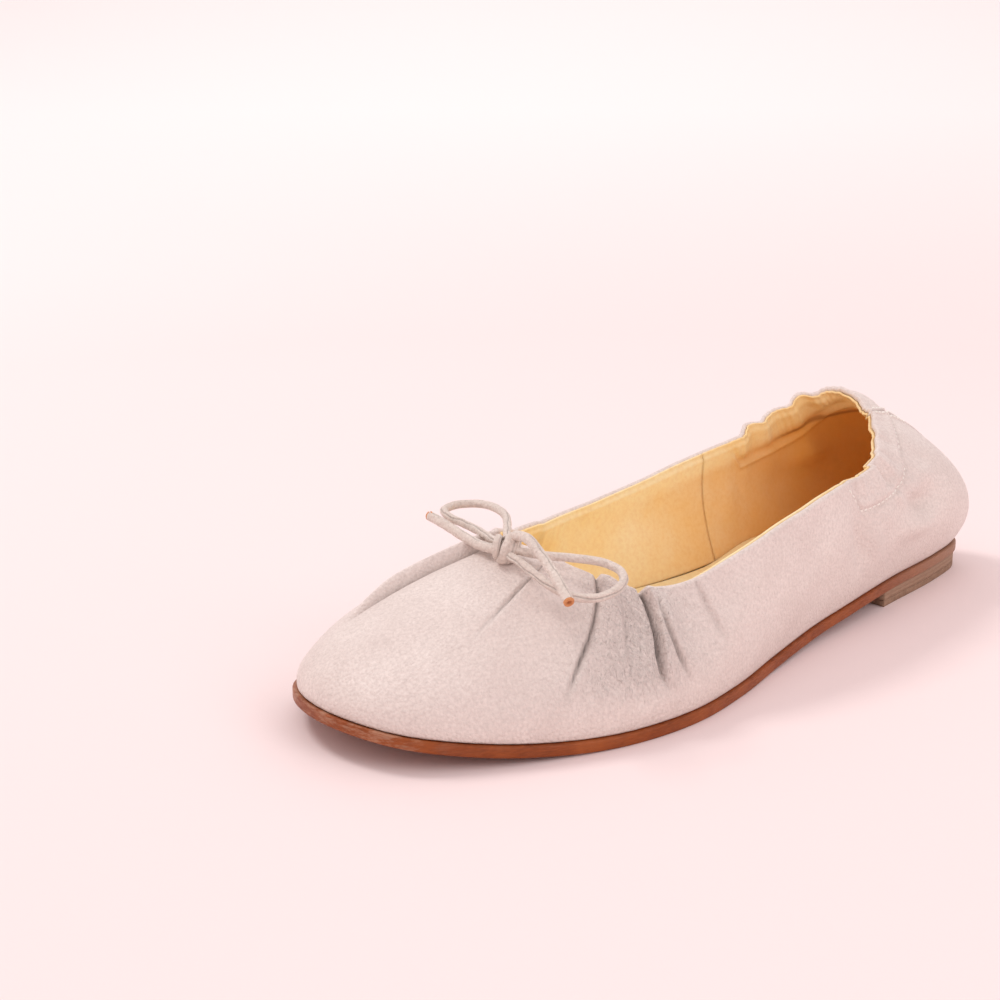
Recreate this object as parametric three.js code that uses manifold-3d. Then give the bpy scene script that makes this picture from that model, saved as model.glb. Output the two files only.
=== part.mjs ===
// A ballet slipper for the left foot: a thin leather outsole on a low heel, a one-piece leather
// upper gathered round the throat and the heel, a leather lining and a small tied bow.
// Millimetres. +Z is up, the toe points along -Y and the outer (little toe) side is +X. The origin
// is the middle of the whole shoe's footprint, on the ground.
import * as THREE from "three";
import { mergeVertices } from "three/addons/utils/BufferGeometryUtils.js";
import Module from "manifold-3d";

const wasm = await Module();
wasm.setup();

// ---- Driving sizes -------------------------------------------------------------------------

const SOLE_LENGTH = 250; // nominal length that the stations below are laid out on
const LENGTH_SCALE = 1; // stretches every station along the shoe
const WIDTH_SCALE = 1; // stretches every half width, with the shank's and the nails' places
const GAP = 0.3; // clearance between two pieces that touch

const OUTSOLE_THICKNESS = 3;
const WELT = 1.2; // how far the outsole's edge stands out beyond the upper
const LEATHER = 1.2; // thickness of the upper's leather
const LINING = 1;
const STIFFENER = 0.8; // toe puff, heel counter and elastic
const TAPE = 0.6;
const LASTING_MARGIN = 10; // width of the upper turned in under the insole board
const INSOLE_BOARD = 1.8;
const SOCK = 1;
const SHANK_THICKNESS = 1.2;
const SHANK_WIDTH = 12;
const CUSHION = 2;
const EDGE_CLEARANCE = 0.5; // between a board's edge and the wall round it

const SEAT_HEIGHT = 5.5; // underside of the outsole above the ground at the heel
const SEAT_DROP = 0.5; // how much lower it is where the heel block ends
const BREAST = 64; // front face of the heel block, from the back of the sole
const ARCH_BACK = 50; // the underside comes down from here to the tread
const TREAD_BACK = 150; // the outsole lies on the ground between these two stations
const TREAD_FRONT = 192;
const TOE_SPRING = 7;
const TOP_PIECE = 2; // rubber layer of the heel, on the ground
const HEEL_INSET = 0.6; // the heel block's edge inside the outsole's

const FLEX = 160; // station of the bend across the ball of the foot

const CORD = 2.2; // diameter of the bow's rolled leather cord
const TAIL = 2.6;

const COLUMNS = 64; // steps round the shoe
const ROWS = 9; // steps up the wall
const RUNGS = 40; // steps along a flat layer

// Stations round the shoe, from the back seam along the outer side to the toe and back along the
// inner side: [sole station, sole x, topline station, topline x, topline height, top slope in
// degrees, bulge, rise]. Bulge and rise place the wall's lower control point out from and above
// the sole's edge, and the slope is how steeply the leather meets the topline.
const STATIONS = [
  [7, 0.5, 45, -2, 55.5, 16, 14, 20], // centre back
  [12, 12, 54, 8, 53, 20, 14, 20],
  [31, 18, 65, 17.5, 48.5, 34, 14, 18],
  [58, 22.5, 77, 24, 45.5, 56, 9, 17],
  [82, 26.5, 90, 28, 45, 76, 6, 17],
  [105, 30, 105, 31.5, 43.5, 88, 5.5, 16], // outer waist
  [128, 35.5, 125, 34.5, 41, 84, 5, 15],
  [150, 42, 147, 36, 36.5, 78, 4.5, 13],
  [170, 46, 165, 34, 32.5, 66, 4, 13], // outer ball
  [190, 45.5, 177, 28.5, 33, 48, 3.5, 13],
  [210, 40.5, 183, 21, 35.5, 32, 2.5, 13],
  [230, 32, 187, 13, 38, 22, 2, 13],
  [246, 20, 188.5, 5.5, 40, 16, 2, 13],
  [252.5, 2.5, 189, -1.5, 40.5, 14, 2, 13], // toe and throat
  [250, -15, 188.5, -7.5, 40, 15, 2, 13],
  [240, -29, 186.5, -14, 38.5, 20, 2, 13],
  [222, -36.5, 182, -21, 36.5, 30, 2.5, 13],
  [200, -39, 174.5, -27, 34, 45, 3, 13], // inner ball
  [179, -38, 163, -31.5, 32.5, 62, 3.5, 14],
  [156, -33.5, 147, -32.5, 33, 76, 4, 15],
  [131, -26, 126, -31.5, 36, 82, 6, 16],
  [105, -22, 103.5, -29, 41, 84, 7, 17], // inner waist
  [78, -23, 81, -27, 46, 80, 6, 18],
  [50, -22.5, 65, -26, 51, 66, 9, 20],
  [25.5, -18.5, 51, -21.5, 57, 40, 12, 20],
  [11.5, -11, 43.5, -12.5, 59, 22, 13, 20],
];
const TOP_HANDLE = 0.36; // length of the upper control arm, as a share of the wall's chord
const LEAN_OUT = 12; // turns the upper control arm outwards where the topline lies over the foot

// Where the layers start and end on the wall: u runs round the shoe from the centre back (0)
// through the toe (0.5), and v climbs from the sole's edge (0) to the topline (1).
const LINING_BAND = { u: [0, 1], v: [0.07, 0.985] };
const PUFF = { u: [0.36, 0.64], v: [0.1, 0.42] };
const COUNTER = { u: [-0.13, 0.13], v: [0.1, 0.46] };
const ELASTIC = { u: [-0.1, 0.1], v: [0.87, 0.96] };
const TAPE_BAND = { u: [0.108, 0.892], v: [0.93, 0.97] };

// ---- The last: the sole's outline, the wall and the heights --------------------------------

const radians = THREE.MathUtils.degToRad;
const along = (station) => (SOLE_LENGTH / 2 - station) * LENGTH_SCALE; // station to y
const stationOf = (y) => SOLE_LENGTH / 2 - y / LENGTH_SCALE;

// A closed Catmull-Rom spline through one group of the stations' columns, with its slope.
function onLoop(pick, u) {
  const n = STATIONS.length;
  const t = (u - Math.floor(u)) * n;
  const i = Math.floor(t);
  const f = t - i;
  const [a, b, c, d] = [-1, 0, 1, 2].map((k) => pick(STATIONS[(i + k + n) % n]));
  const value = [];
  const slope = [];
  a.forEach((_, k) => {
    const c3 = 0.5 * (-a[k] + 3 * b[k] - 3 * c[k] + d[k]);
    const c2 = 0.5 * (2 * a[k] - 5 * b[k] + 4 * c[k] - d[k]);
    const c1 = 0.5 * (c[k] - a[k]);
    value.push(((c3 * f + c2) * f + c1) * f + b[k]);
    slope.push((3 * c3 * f + 2 * c2) * f + c1);
  });
  return { value, slope };
}
const pickSole = (s) => [s[1] * WIDTH_SCALE, along(s[0])];
const pickTop = (s) => [s[3] * WIDTH_SCALE, along(s[2]), s[4]];
const pickWall = (s) => s.slice(5);

function underside(station) {
  const seat = SEAT_HEIGHT - (SEAT_DROP * Math.max(station, 0)) / BREAST;
  const arch = 1 - THREE.MathUtils.smoothstep(station, ARCH_BACK, TREAD_BACK);
  const spring = Math.max(0, (station - TREAD_FRONT) / (SOLE_LENGTH - TREAD_FRONT));
  return seat * arch + TOE_SPRING * spring * spring;
}
const FLOOR = {
  // heights above the outsole's underside
  outsole: [0, OUTSOLE_THICKNESS],
  margin: [OUTSOLE_THICKNESS + GAP, OUTSOLE_THICKNESS + GAP + LEATHER],
};
FLOOR.board = [FLOOR.margin[1] + GAP, FLOOR.margin[1] + GAP + INSOLE_BOARD];
FLOOR.sock = [FLOOR.board[1] + GAP, FLOOR.board[1] + GAP + SOCK];

function soleEdge(u, inset) {
  const { value, slope } = onLoop(pickSole, u);
  const normal = new THREE.Vector2(-slope[1], slope[0]).normalize();
  return { point: new THREE.Vector2(...value).addScaledVector(normal, -inset), normal };
}

// A point of the upper's outside.
function wall(u, v) {
  const { point, normal } = soleEdge(u, WELT);
  const out = new THREE.Vector3(normal.x, normal.y, 0);
  const foot = new THREE.Vector3(point.x, point.y, underside(stationOf(point.y)) + FLOOR.margin[0]);
  const top = new THREE.Vector3(...onLoop(pickTop, u).value);
  const [slope, bulge, rise] = onLoop(pickWall, u).value;
  const lean = foot.clone().sub(top).setZ(0).addScaledVector(out, LEAN_OUT).normalize();
  const reach = TOP_HANDLE * foot.distanceTo(top);
  const low = foot.clone().addScaledVector(out, bulge);
  low.z += rise;
  const high = top.clone().addScaledVector(lean, reach * Math.cos(radians(slope)));
  high.z -= reach * Math.sin(radians(slope));
  return new THREE.CubicBezierCurve3(foot, low, high, top).getPoint(v);
}
const STEP = 1e-3;
function wallInside(u, v, depth) {
  const du = wall(u + STEP, v).sub(wall(u - STEP, v));
  const dv = wall(u, v + STEP).sub(wall(u, v - STEP));
  return wall(u, v).addScaledVector(du.cross(dv).normalize(), depth);
}

// ---- Solids ---------------------------------------------------------------------------------

// Joins columns of [outer, inner] point pairs into one closed body.
function shell(columns, closed) {
  const pairs = columns[0].length;
  const points = columns.flat(2);
  const at = (column, pair, side) => ((column % columns.length) * pairs + pair) * 2 + side;
  const faces = [];
  const quad = (a, b, c, d) => faces.push(a, b, c, a, c, d);
  const last = closed ? columns.length : columns.length - 1;
  for (let i = 0; i < last; i++) {
    for (let k = 0; k + 1 < pairs; k++) {
      quad(at(i, k, 0), at(i + 1, k, 0), at(i + 1, k + 1, 0), at(i, k + 1, 0));
      quad(at(i, k, 1), at(i, k + 1, 1), at(i + 1, k + 1, 1), at(i + 1, k, 1));
    }
    quad(at(i, 0, 0), at(i, 0, 1), at(i + 1, 0, 1), at(i + 1, 0, 0));
    quad(at(i, pairs - 1, 1), at(i, pairs - 1, 0), at(i + 1, pairs - 1, 0), at(i + 1, pairs - 1, 1));
  }
  if (!closed)
    for (let k = 0; k + 1 < pairs; k++) {
      quad(at(0, k, 0), at(0, k + 1, 0), at(0, k + 1, 1), at(0, k, 1));
      quad(at(last, k, 1), at(last, k + 1, 1), at(last, k + 1, 0), at(last, k, 0));
    }
  const geometry = new THREE.BufferGeometry();
  geometry.setAttribute("position", new THREE.Float32BufferAttribute(points.flatMap((p) => p.toArray()), 3));
  geometry.setIndex(faces);
  return geometry;
}

const range = (count, from, to) =>
  Array.from({ length: count + 1 }, (_, i) => from + ((to - from) * i) / count);

// The values of a grid of equal steps that lie inside a span, with the span's own ends. Every
// layer of the wall keeps to one grid, so that neighbouring layers stay parallel.
const NEAR = 0.2; // share of a step: a grid value this near the span's end is left out
function levels(from, to, steps) {
  const inner = range(Math.ceil((to - from) * steps), Math.ceil(from * steps), Math.ceil(to * steps))
    .map((i) => Math.round(i) / steps)
    .filter((x) => x > from + NEAR / steps && x < to - NEAR / steps);
  return [from, ...new Set(inner), to];
}

// A layer of the wall between two depths, from v[1] down to v[0].
function wallLayer(area, depths) {
  const closed = area.u[1] - area.u[0] >= 1;
  const us = levels(...area.u, COLUMNS).slice(0, closed ? -1 : undefined);
  const vs = levels(...area.v, ROWS).reverse();
  const columns = us.map((u) => vs.map((v) => depths.map((d) => wallInside(u, v, d))));
  return { columns, closed };
}

// The upper's leather: the wall, then the margin turned in on top of the outsole.
const MARGIN_BEND = 1.6; // first step of the margin, in thicknesses of the leather
function upperLeather() {
  const { columns, closed } = wallLayer({ u: [0, 1], v: [0, 1] }, [0, LEATHER]);
  columns.forEach((column, i) => {
    const { normal } = soleEdge(i / columns.length, 0);
    const foot = column[column.length - 1][0];
    for (const width of [LEATHER * MARGIN_BEND, LASTING_MARGIN / 2, LASTING_MARGIN]) {
      const inner = foot.clone();
      inner.x -= normal.x * width;
      inner.y -= normal.y * width;
      const base = underside(stationOf(inner.y));
      column.push(FLOOR.margin.map((z) => inner.clone().setZ(base + z)));
    }
  });
  return shell(columns, closed);
}

// A flat layer between two outlines, laid in rungs across the shoe so that it can follow the
// sole's curve. edge(u, face) gives the outline's x and y and height(station, face) its z, for
// face 0 below and 1 above.
const OUTLINE_STEPS = 260;
const BLUNT = 6e-4; // share of the length left off each rounded end, where a rung has no width
function layer(edge, height) {
  const shares = range(RUNGS, 0, Math.PI).map((t) => BLUNT + (0.5 - 0.5 * Math.cos(t)) * (1 - 2 * BLUNT));
  const faces = [1, 0].map((face) => {
    const outline = range(OUTLINE_STEPS, 0, 1).map((u) => edge(u, face));
    const back = Math.max(...outline.map((p) => p.y));
    const front = Math.min(...outline.map((p) => p.y));
    return shares.map((share) => {
      const y = THREE.MathUtils.lerp(back, front, share);
      return crossings(outline, y).map((x) => new THREE.Vector3(x, y, height(stationOf(y), face)));
    });
  });
  return shell(
    shares.map((_, i) => [0, 1].map((side) => [faces[0][i][side], faces[1][i][side]])),
    false,
  );
}

// The lowest and highest x at which an outline crosses a line across the shoe.
function crossings(outline, y) {
  const xs = [];
  outline.slice(1).forEach((q, i) => {
    const p = outline[i];
    if (p.y < y === q.y < y) return;
    xs.push(THREE.MathUtils.mapLinear(y, p.y, q.y, p.x, q.x));
  });
  return [Math.min(...xs), Math.max(...xs)];
}

const aboveSole = (heights) => (station, face) => underside(station) + heights[face];
const soleInset = (inset) => (u) => soleEdge(u, inset).point;

// The outline that a board fills inside the lining, at the heights of its two faces. A point of
// the wall at each height is found by halving the span of v that holds it.
const BOARD_BELOW = 0.6; // every board meets the wall below this share of the wall's height
const HALVINGS = 24;
function insideWall(height) {
  const depth = LEATHER + STIFFENER + LINING + 2 * GAP + EDGE_CLEARANCE;
  return (u, face) => {
    let low = 0;
    let high = BOARD_BELOW;
    for (let i = 0; i < HALVINGS; i++) {
      const v = (low + high) / 2;
      const p = wallInside(u, v, depth);
      if (p.z > height(stationOf(p.y), face)) high = v;
      else low = v;
    }
    return wallInside(u, low, depth);
  };
}

// ---- Cutting and joining --------------------------------------------------------------------

function solid(geometry) {
  const bare = geometry.clone();
  bare.deleteAttribute("normal");
  bare.deleteAttribute("uv");
  const merged = mergeVertices(bare, 1e-4);
  return new wasm.Manifold(
    new wasm.Mesh({
      numProp: 3,
      vertProperties: new Float32Array(merged.attributes.position.array),
      triVerts: new Uint32Array(merged.index.array),
    }),
  );
}
function surface(manifold) {
  const mesh = manifold.getMesh();
  const geometry = new THREE.BufferGeometry();
  geometry.setAttribute("position", new THREE.BufferAttribute(mesh.vertProperties, 3));
  geometry.setIndex(new THREE.BufferAttribute(mesh.triVerts, 1));
  return geometry;
}
const FAR = 400;
function block(min, max) {
  const size = new THREE.Vector3().subVectors(max, min);
  const box = new THREE.BoxGeometry(size.x, size.y, size.z);
  box.translate(...min.clone().addScaledVector(size, 0.5).toArray());
  return solid(box);
}
const keep = (geometry, min, max) =>
  surface(solid(geometry).intersect(block(new THREE.Vector3(...min), new THREE.Vector3(...max))));
const between = (geometry, from, to) =>
  keep(geometry, [-FAR, Math.max(along(to), -FAR), -FAR], [FAR, Math.min(along(from), FAR), FAR]);
const CUT = GAP / 2 + 0.05; // half the slit at the flex line and at the back seam
const forepart = (geometry) => keep(geometry, [-FAR, -FAR, -FAR], [FAR, along(FLEX) - CUT, FAR]);
const rear = (geometry) => keep(geometry, [-FAR, along(FLEX) + CUT, -FAR], [FAR, FAR, FAR]);
const outerHalf = (geometry) => keep(geometry, [CUT, -FAR, -FAR], [FAR, FAR, FAR]);
const innerHalf = (geometry) => keep(geometry, [-FAR, -FAR, -FAR], [-CUT, FAR, FAR]);

function drilled(geometry, holes) {
  return surface(holes.reduce((body, hole) => body.subtract(solid(hole)), solid(geometry)));
}
const PIN_SIDES = 12;
const HOLE_PAST = 4; // how far a drilled hole runs past the piece
function pin(radius, x, station, from, to) {
  const cylinder = new THREE.CylinderGeometry(radius, radius, to - from, PIN_SIDES);
  cylinder.rotateX(Math.PI / 2);
  cylinder.translate(x, along(station), (from + to) / 2);
  return cylinder;
}

// ---- Bottom unit ----------------------------------------------------------------------------

const NAILS = [
  [0, 17],
  [13, 30],
  [-12.5, 30],
  [15, 52],
  [-15, 52],
].map(([x, station]) => [x * WIDTH_SCALE, station]);
const NAIL_RADIUS = 0.8;
const NAIL_HEAD = 1.6;
const NAIL_HEAD_DEPTH = 0.8;
const NAIL_COVER = 0.4; // how far the tip stops below the top of the outsole
const NAIL_POINT = 1; // length of the taper at the tip
const NAIL_SINK = 0.2;
const NAIL_LEVEL = TOP_PIECE + GAP + NAIL_SINK; // underside of the heads, sunk in the lift

function nail([x, station]) {
  const tip = underside(station) + OUTSOLE_THICKNESS - NAIL_COVER;
  const profile = [
    [0, NAIL_LEVEL],
    [NAIL_HEAD, NAIL_LEVEL],
    [NAIL_HEAD, NAIL_LEVEL + NAIL_HEAD_DEPTH],
    [NAIL_RADIUS, NAIL_LEVEL + NAIL_HEAD_DEPTH],
    [NAIL_RADIUS, tip - NAIL_POINT],
    [0, tip],
  ].map(([r, z]) => new THREE.Vector2(r, z));
  const turned = new THREE.LatheGeometry(profile, PIN_SIDES);
  turned.rotateX(Math.PI / 2);
  turned.translate(x, along(station), 0);
  return turned;
}
function nailHoles() {
  return NAILS.flatMap(([x, station]) => {
    const above = underside(station) + OUTSOLE_THICKNESS + HOLE_PAST;
    return [
      pin(NAIL_RADIUS + GAP, x, station, 0, above),
      pin(NAIL_HEAD + GAP, x, station, 0, NAIL_LEVEL + NAIL_HEAD_DEPTH + GAP),
    ];
  });
}

function outsole() {
  return drilled(layer(soleInset(0), aboveSole(FLOOR.outsole)), nailHoles());
}

// A heel layer: the sole's outline cut off at the breast.
const BEHIND = -20; // a station behind the whole shoe
const heelLayer = (height) => between(layer(soleInset(HEEL_INSET), height), BEHIND, BREAST);
const heelTopPiece = () => heelLayer((_, face) => face * TOP_PIECE);
const liftHeight = (station, face) => (face ? underside(station) - GAP : TOP_PIECE + GAP);
const heelLift = () => drilled(heelLayer(liftHeight), nailHoles());

const RIVETS = [50, 124];
const RIVET_RADIUS = 1.5;
const RIVET_SUNK = 0.1; // below the board's upper face
const rivet = (station) => {
  const base = underside(station);
  return pin(RIVET_RADIUS, 0, station, base + FLOOR.margin[0], base + FLOOR.board[1] - RIVET_SUNK);
};
const rivetHoles = () =>
  RIVETS.map((s) => {
    const base = underside(s);
    return pin(RIVET_RADIUS + GAP, 0, s, base, base + FLOOR.board[1] + HOLE_PAST);
  });

function insoleBoard() {
  const height = aboveSole(FLOOR.board);
  return drilled(layer(insideWall(height), height), rivetHoles());
}

const SHANK_SPAN = [42, 140];
const SHANK_STEPS = 14;
function shank() {
  const columns = range(SHANK_STEPS, ...SHANK_SPAN).map((station) => {
    const base = underside(station) + FLOOR.margin[0];
    const half = (SHANK_WIDTH / 2) * WIDTH_SCALE;
    return [-half, half].map((x) => [
      new THREE.Vector3(x, along(station), base + SHANK_THICKNESS),
      new THREE.Vector3(x, along(station), base),
    ]);
  });
  return drilled(shell(columns, false), rivetHoles());
}

const FILLER_SPAN = [FLEX + 4, 236];
const FILLER_CLEARANCE = 1; // between the filler and the margin's edge
const bottomFiller = () =>
  between(
    layer(soleInset(WELT + LASTING_MARGIN + FILLER_CLEARANCE), aboveSole(FLOOR.margin)),
    ...FILLER_SPAN,
  );

const CUSHION_SPAN = [12, 74];
const CUSHION_RAMP = 24; // length over which the sock comes down in front of the cushion
const CUSHION_INSET = 3; // between the cushion's edge and the board's
const CUSHION_LEAD = 2; // the sock stays raised this far in front of the cushion
const cushionHeight = aboveSole([FLOOR.board[1] + GAP, FLOOR.board[1] + GAP + CUSHION]);
function heelCushion() {
  const boardEdge = insideWall(cushionHeight);
  const edge = (u, face) => {
    const { x, y } = boardEdge(u, face);
    return new THREE.Vector2(x, y).addScaledVector(soleEdge(u, 0).normal, -CUSHION_INSET);
  };
  return between(layer(edge, cushionHeight), ...CUSHION_SPAN);
}
function sockHeight(station, face) {
  const front = CUSHION_SPAN[1] + CUSHION_LEAD;
  const raised = 1 - THREE.MathUtils.smoothstep(station, front, front + CUSHION_RAMP);
  return aboveSole(FLOOR.sock)(station, face) + (CUSHION + GAP) * raised;
}
const sockLining = () => layer(insideWall(sockHeight), sockHeight);

// ---- Upper ----------------------------------------------------------------------------------

const LINING_DEPTH = LEATHER + STIFFENER + 2 * GAP;
function wallPiece(area, thickness, depth = LEATHER + GAP) {
  const { columns, closed } = wallLayer(area, [depth, depth + thickness]);
  return shell(columns, closed);
}

// ---- Bow ------------------------------------------------------------------------------------

// Routes of the cord as [x, y, z]. Both loops start and end in the knot.
const LOOP_OUTER = [
  [7, -73, 41.6],
  [13, -69.5, 41],
  [19, -64, 40.5],
  [25, -60, 40],
  [31, -59.5, 39],
  [35, -63, 37.5],
  [35.5, -69, 36],
  [32, -74, 35.6],
  [26, -76.5, 36.8],
  [19, -76.5, 38.6],
  [12, -75.5, 40],
  [7, -74.6, 40.4],
];
const LOOP_INNER = [
  [0, -69.5, 42.2],
  [-6, -64, 43],
  [-13, -58.5, 43.4],
  [-21, -55, 43.2],
  [-28, -54.5, 42.8],
  [-33, -58, 42.2],
  [-33, -63, 41.6],
  [-27, -66, 41.4],
  [-20, -67, 41.4],
  [-12, -68.5, 41.4],
  [-6, -70, 41.2],
  [-1, -71.2, 41.2],
];
const TAIL_OUTER = [
  [6, -71.5, 44],
  [11, -72, 45.2],
  [17, -73.5, 44.6],
  [23, -75.5, 42.6],
  [28, -78, 40.4],
  [32, -81, 38.6],
];
const TAIL_INNER = [
  [0, -74, 40.6],
  [-6, -73.6, 40.4],
  [-13, -72.4, 40.6],
  [-20, -71, 41.2],
  [-27, -70, 41.8],
  [-33, -69, 42],
];
const KNOT = [3.4, -72.6, 41.6];
const KNOT_SIZE = [5.4, 6.4, 6.6];
const CORD_SIDES = 8;

const vectors = (points) => points.map((p) => new THREE.Vector3(...p));
function cord(points, diameter, steps) {
  const section = new THREE.Shape();
  section.absarc(0, 0, diameter / 2, 0, Math.PI * 2);
  return new THREE.ExtrudeGeometry(section, {
    curveSegments: CORD_SIDES / 2,
    steps,
    extrudePath: new THREE.CatmullRomCurve3(vectors(points)),
  });
}
function knot() {
  const ball = new THREE.SphereGeometry(0.5, 14, 10);
  ball.scale(...KNOT_SIZE);
  ball.translate(...KNOT);
  return ball;
}

// ---- Assembly -------------------------------------------------------------------------------

const finish = (color, roughness, metalness = 0) =>
  new THREE.MeshStandardMaterial({ color, roughness, metalness });
const FINISH = {
  upper: () => finish(0xe2cdc4, 0.6),
  lining: () => finish(0xd79a55, 0.7),
  sole: () => finish(0x8a5230, 0.55),
  heel: () => finish(0x8b7466, 0.6),
  rubber: () => finish(0x6f6259, 0.8),
  steel: () => finish(0xb8babd, 0.35, 1),
  board: () => finish(0xb49b78, 0.9),
  cork: () => finish(0xa87b4f, 0.95),
  foam: () => finish(0xe9e4d6, 0.9),
  elastic: () => finish(0xf0e6da, 0.8),
  stiffener: () => finish(0xded2bd, 0.85),
};

const shoe = new THREE.Group();
function add(name, geometry, material) {
  const mesh = new THREE.Mesh(geometry, material);
  mesh.name = name;
  shoe.add(mesh);
}

const wholeSole = outsole();
add("outsole_forepart", forepart(wholeSole), FINISH.sole());
add("outsole_rearpart", rear(wholeSole), FINISH.sole());
add("heel_lift", heelLift(), FINISH.heel());
add("heel_top_piece", heelTopPiece(), FINISH.rubber());
NAILS.forEach((place, i) => add(`heel_nail_${i + 1}`, nail(place), FINISH.steel()));

const board = insoleBoard();
add("insole_board_forepart", forepart(board), FINISH.board());
add("insole_board_rearpart", rear(board), FINISH.board());
add("shank", shank(), FINISH.steel());
add("shank_rivet_rear", rivet(RIVETS[0]), FINISH.steel());
add("shank_rivet_front", rivet(RIVETS[1]), FINISH.steel());
add("bottom_filler", bottomFiller(), FINISH.cork());
add("heel_cushion", heelCushion(), FINISH.foam());
const sock = sockLining();
add("sock_lining_forepart", forepart(sock), FINISH.lining());
add("sock_lining_rearpart", rear(sock), FINISH.lining());

const leather = upperLeather();
add("upper_forepart", forepart(leather), FINISH.upper());
add("upper_rear_outer_side", outerHalf(rear(leather)), FINISH.upper());
add("upper_rear_inner_side", innerHalf(rear(leather)), FINISH.upper());
const innerSkin = wallPiece(LINING_BAND, LINING, LINING_DEPTH);
add("vamp_lining", forepart(innerSkin), FINISH.lining());
add("quarter_lining_outer_side", outerHalf(rear(innerSkin)), FINISH.lining());
add("quarter_lining_inner_side", innerHalf(rear(innerSkin)), FINISH.lining());
add("toe_puff", wallPiece(PUFF, STIFFENER), FINISH.stiffener());
add("heel_counter", wallPiece(COUNTER, STIFFENER), FINISH.stiffener());
add("heel_elastic", wallPiece(ELASTIC, STIFFENER), FINISH.elastic());
const tape = wallPiece(TAPE_BAND, TAPE);
add("topline_tape_throat", forepart(tape), FINISH.elastic());
add("topline_tape_outer_side", outerHalf(rear(tape)), FINISH.elastic());
add("topline_tape_inner_side", innerHalf(rear(tape)), FINISH.elastic());

add("bow_knot", knot(), FINISH.upper());
add("bow_loop_outer_side", cord(LOOP_OUTER, CORD, 28), FINISH.upper());
add("bow_loop_inner_side", cord(LOOP_INNER, CORD, 28), FINISH.upper());
add("bow_tail_outer_side", cord(TAIL_OUTER, TAIL, 12), FINISH.upper());
add("bow_tail_inner_side", cord(TAIL_INNER, TAIL, 12), FINISH.upper());

// The shoe stands on the ground with the middle of its footprint at the origin.
const extent = new THREE.Box3().setFromObject(shoe);
const middle = extent.getCenter(new THREE.Vector3());
shoe.position.set(-middle.x, -middle.y, -extent.min.z);
const part = new THREE.Group();
part.add(shoe);

export default part;
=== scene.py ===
"""The looks of a left ballet slipper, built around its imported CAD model.

The shoe's shape comes from one table of stations and the same curves as the CAD source. Every
layer of the wall (leather, stiffeners, tape, lining) is that surface at its own depth, and all
of them share one relief of pleats, gathers and dents, so that the layers follow each other.
Shapes are worked out in millimetres, with +Z up and the toe along -Y, and made in metres.
"""
import math

import bmesh
import bpy
import numpy as np
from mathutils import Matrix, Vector


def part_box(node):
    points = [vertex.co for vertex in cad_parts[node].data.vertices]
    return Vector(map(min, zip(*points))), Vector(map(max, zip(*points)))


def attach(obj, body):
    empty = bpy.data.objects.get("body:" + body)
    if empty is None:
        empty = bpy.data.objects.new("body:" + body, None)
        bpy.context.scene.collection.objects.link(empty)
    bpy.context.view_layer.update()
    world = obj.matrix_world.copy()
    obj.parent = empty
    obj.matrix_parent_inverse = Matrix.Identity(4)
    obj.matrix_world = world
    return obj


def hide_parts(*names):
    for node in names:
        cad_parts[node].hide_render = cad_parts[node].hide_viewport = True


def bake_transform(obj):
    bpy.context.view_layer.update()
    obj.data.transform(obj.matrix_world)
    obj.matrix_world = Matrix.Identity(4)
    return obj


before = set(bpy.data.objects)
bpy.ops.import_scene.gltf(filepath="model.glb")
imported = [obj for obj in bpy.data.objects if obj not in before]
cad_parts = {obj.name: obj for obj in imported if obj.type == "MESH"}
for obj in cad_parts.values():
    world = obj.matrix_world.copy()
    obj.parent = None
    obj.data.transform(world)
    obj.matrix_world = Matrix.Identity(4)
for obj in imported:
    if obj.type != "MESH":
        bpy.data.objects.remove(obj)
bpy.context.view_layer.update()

MM = 0.001

# ---- Sizes, as in the CAD source ---------------------------------------------------------------

SOLE_LENGTH = 250
GAP = 0.3
OUTSOLE = 3
WELT = 1.2
LEATHER = 1.2
LINING = 1
STIFFENER = 0.8
TAPE = 0.6
LASTING_MARGIN = 10
INSOLE_BOARD = 1.8
SOCK = 1
CUSHION = 2
SEAT_HEIGHT = 5.5
SEAT_DROP = 0.5
BREAST = 64
ARCH_BACK = 50
TREAD_BACK = 150
TREAD_FRONT = 192
TOE_SPRING = 7
TOP_PIECE = 2
HEEL_INSET = 0.6
CORD = 2.2
TAIL = 2.6
TOP_HANDLE = 0.36
LEAN_OUT = 12

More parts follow.
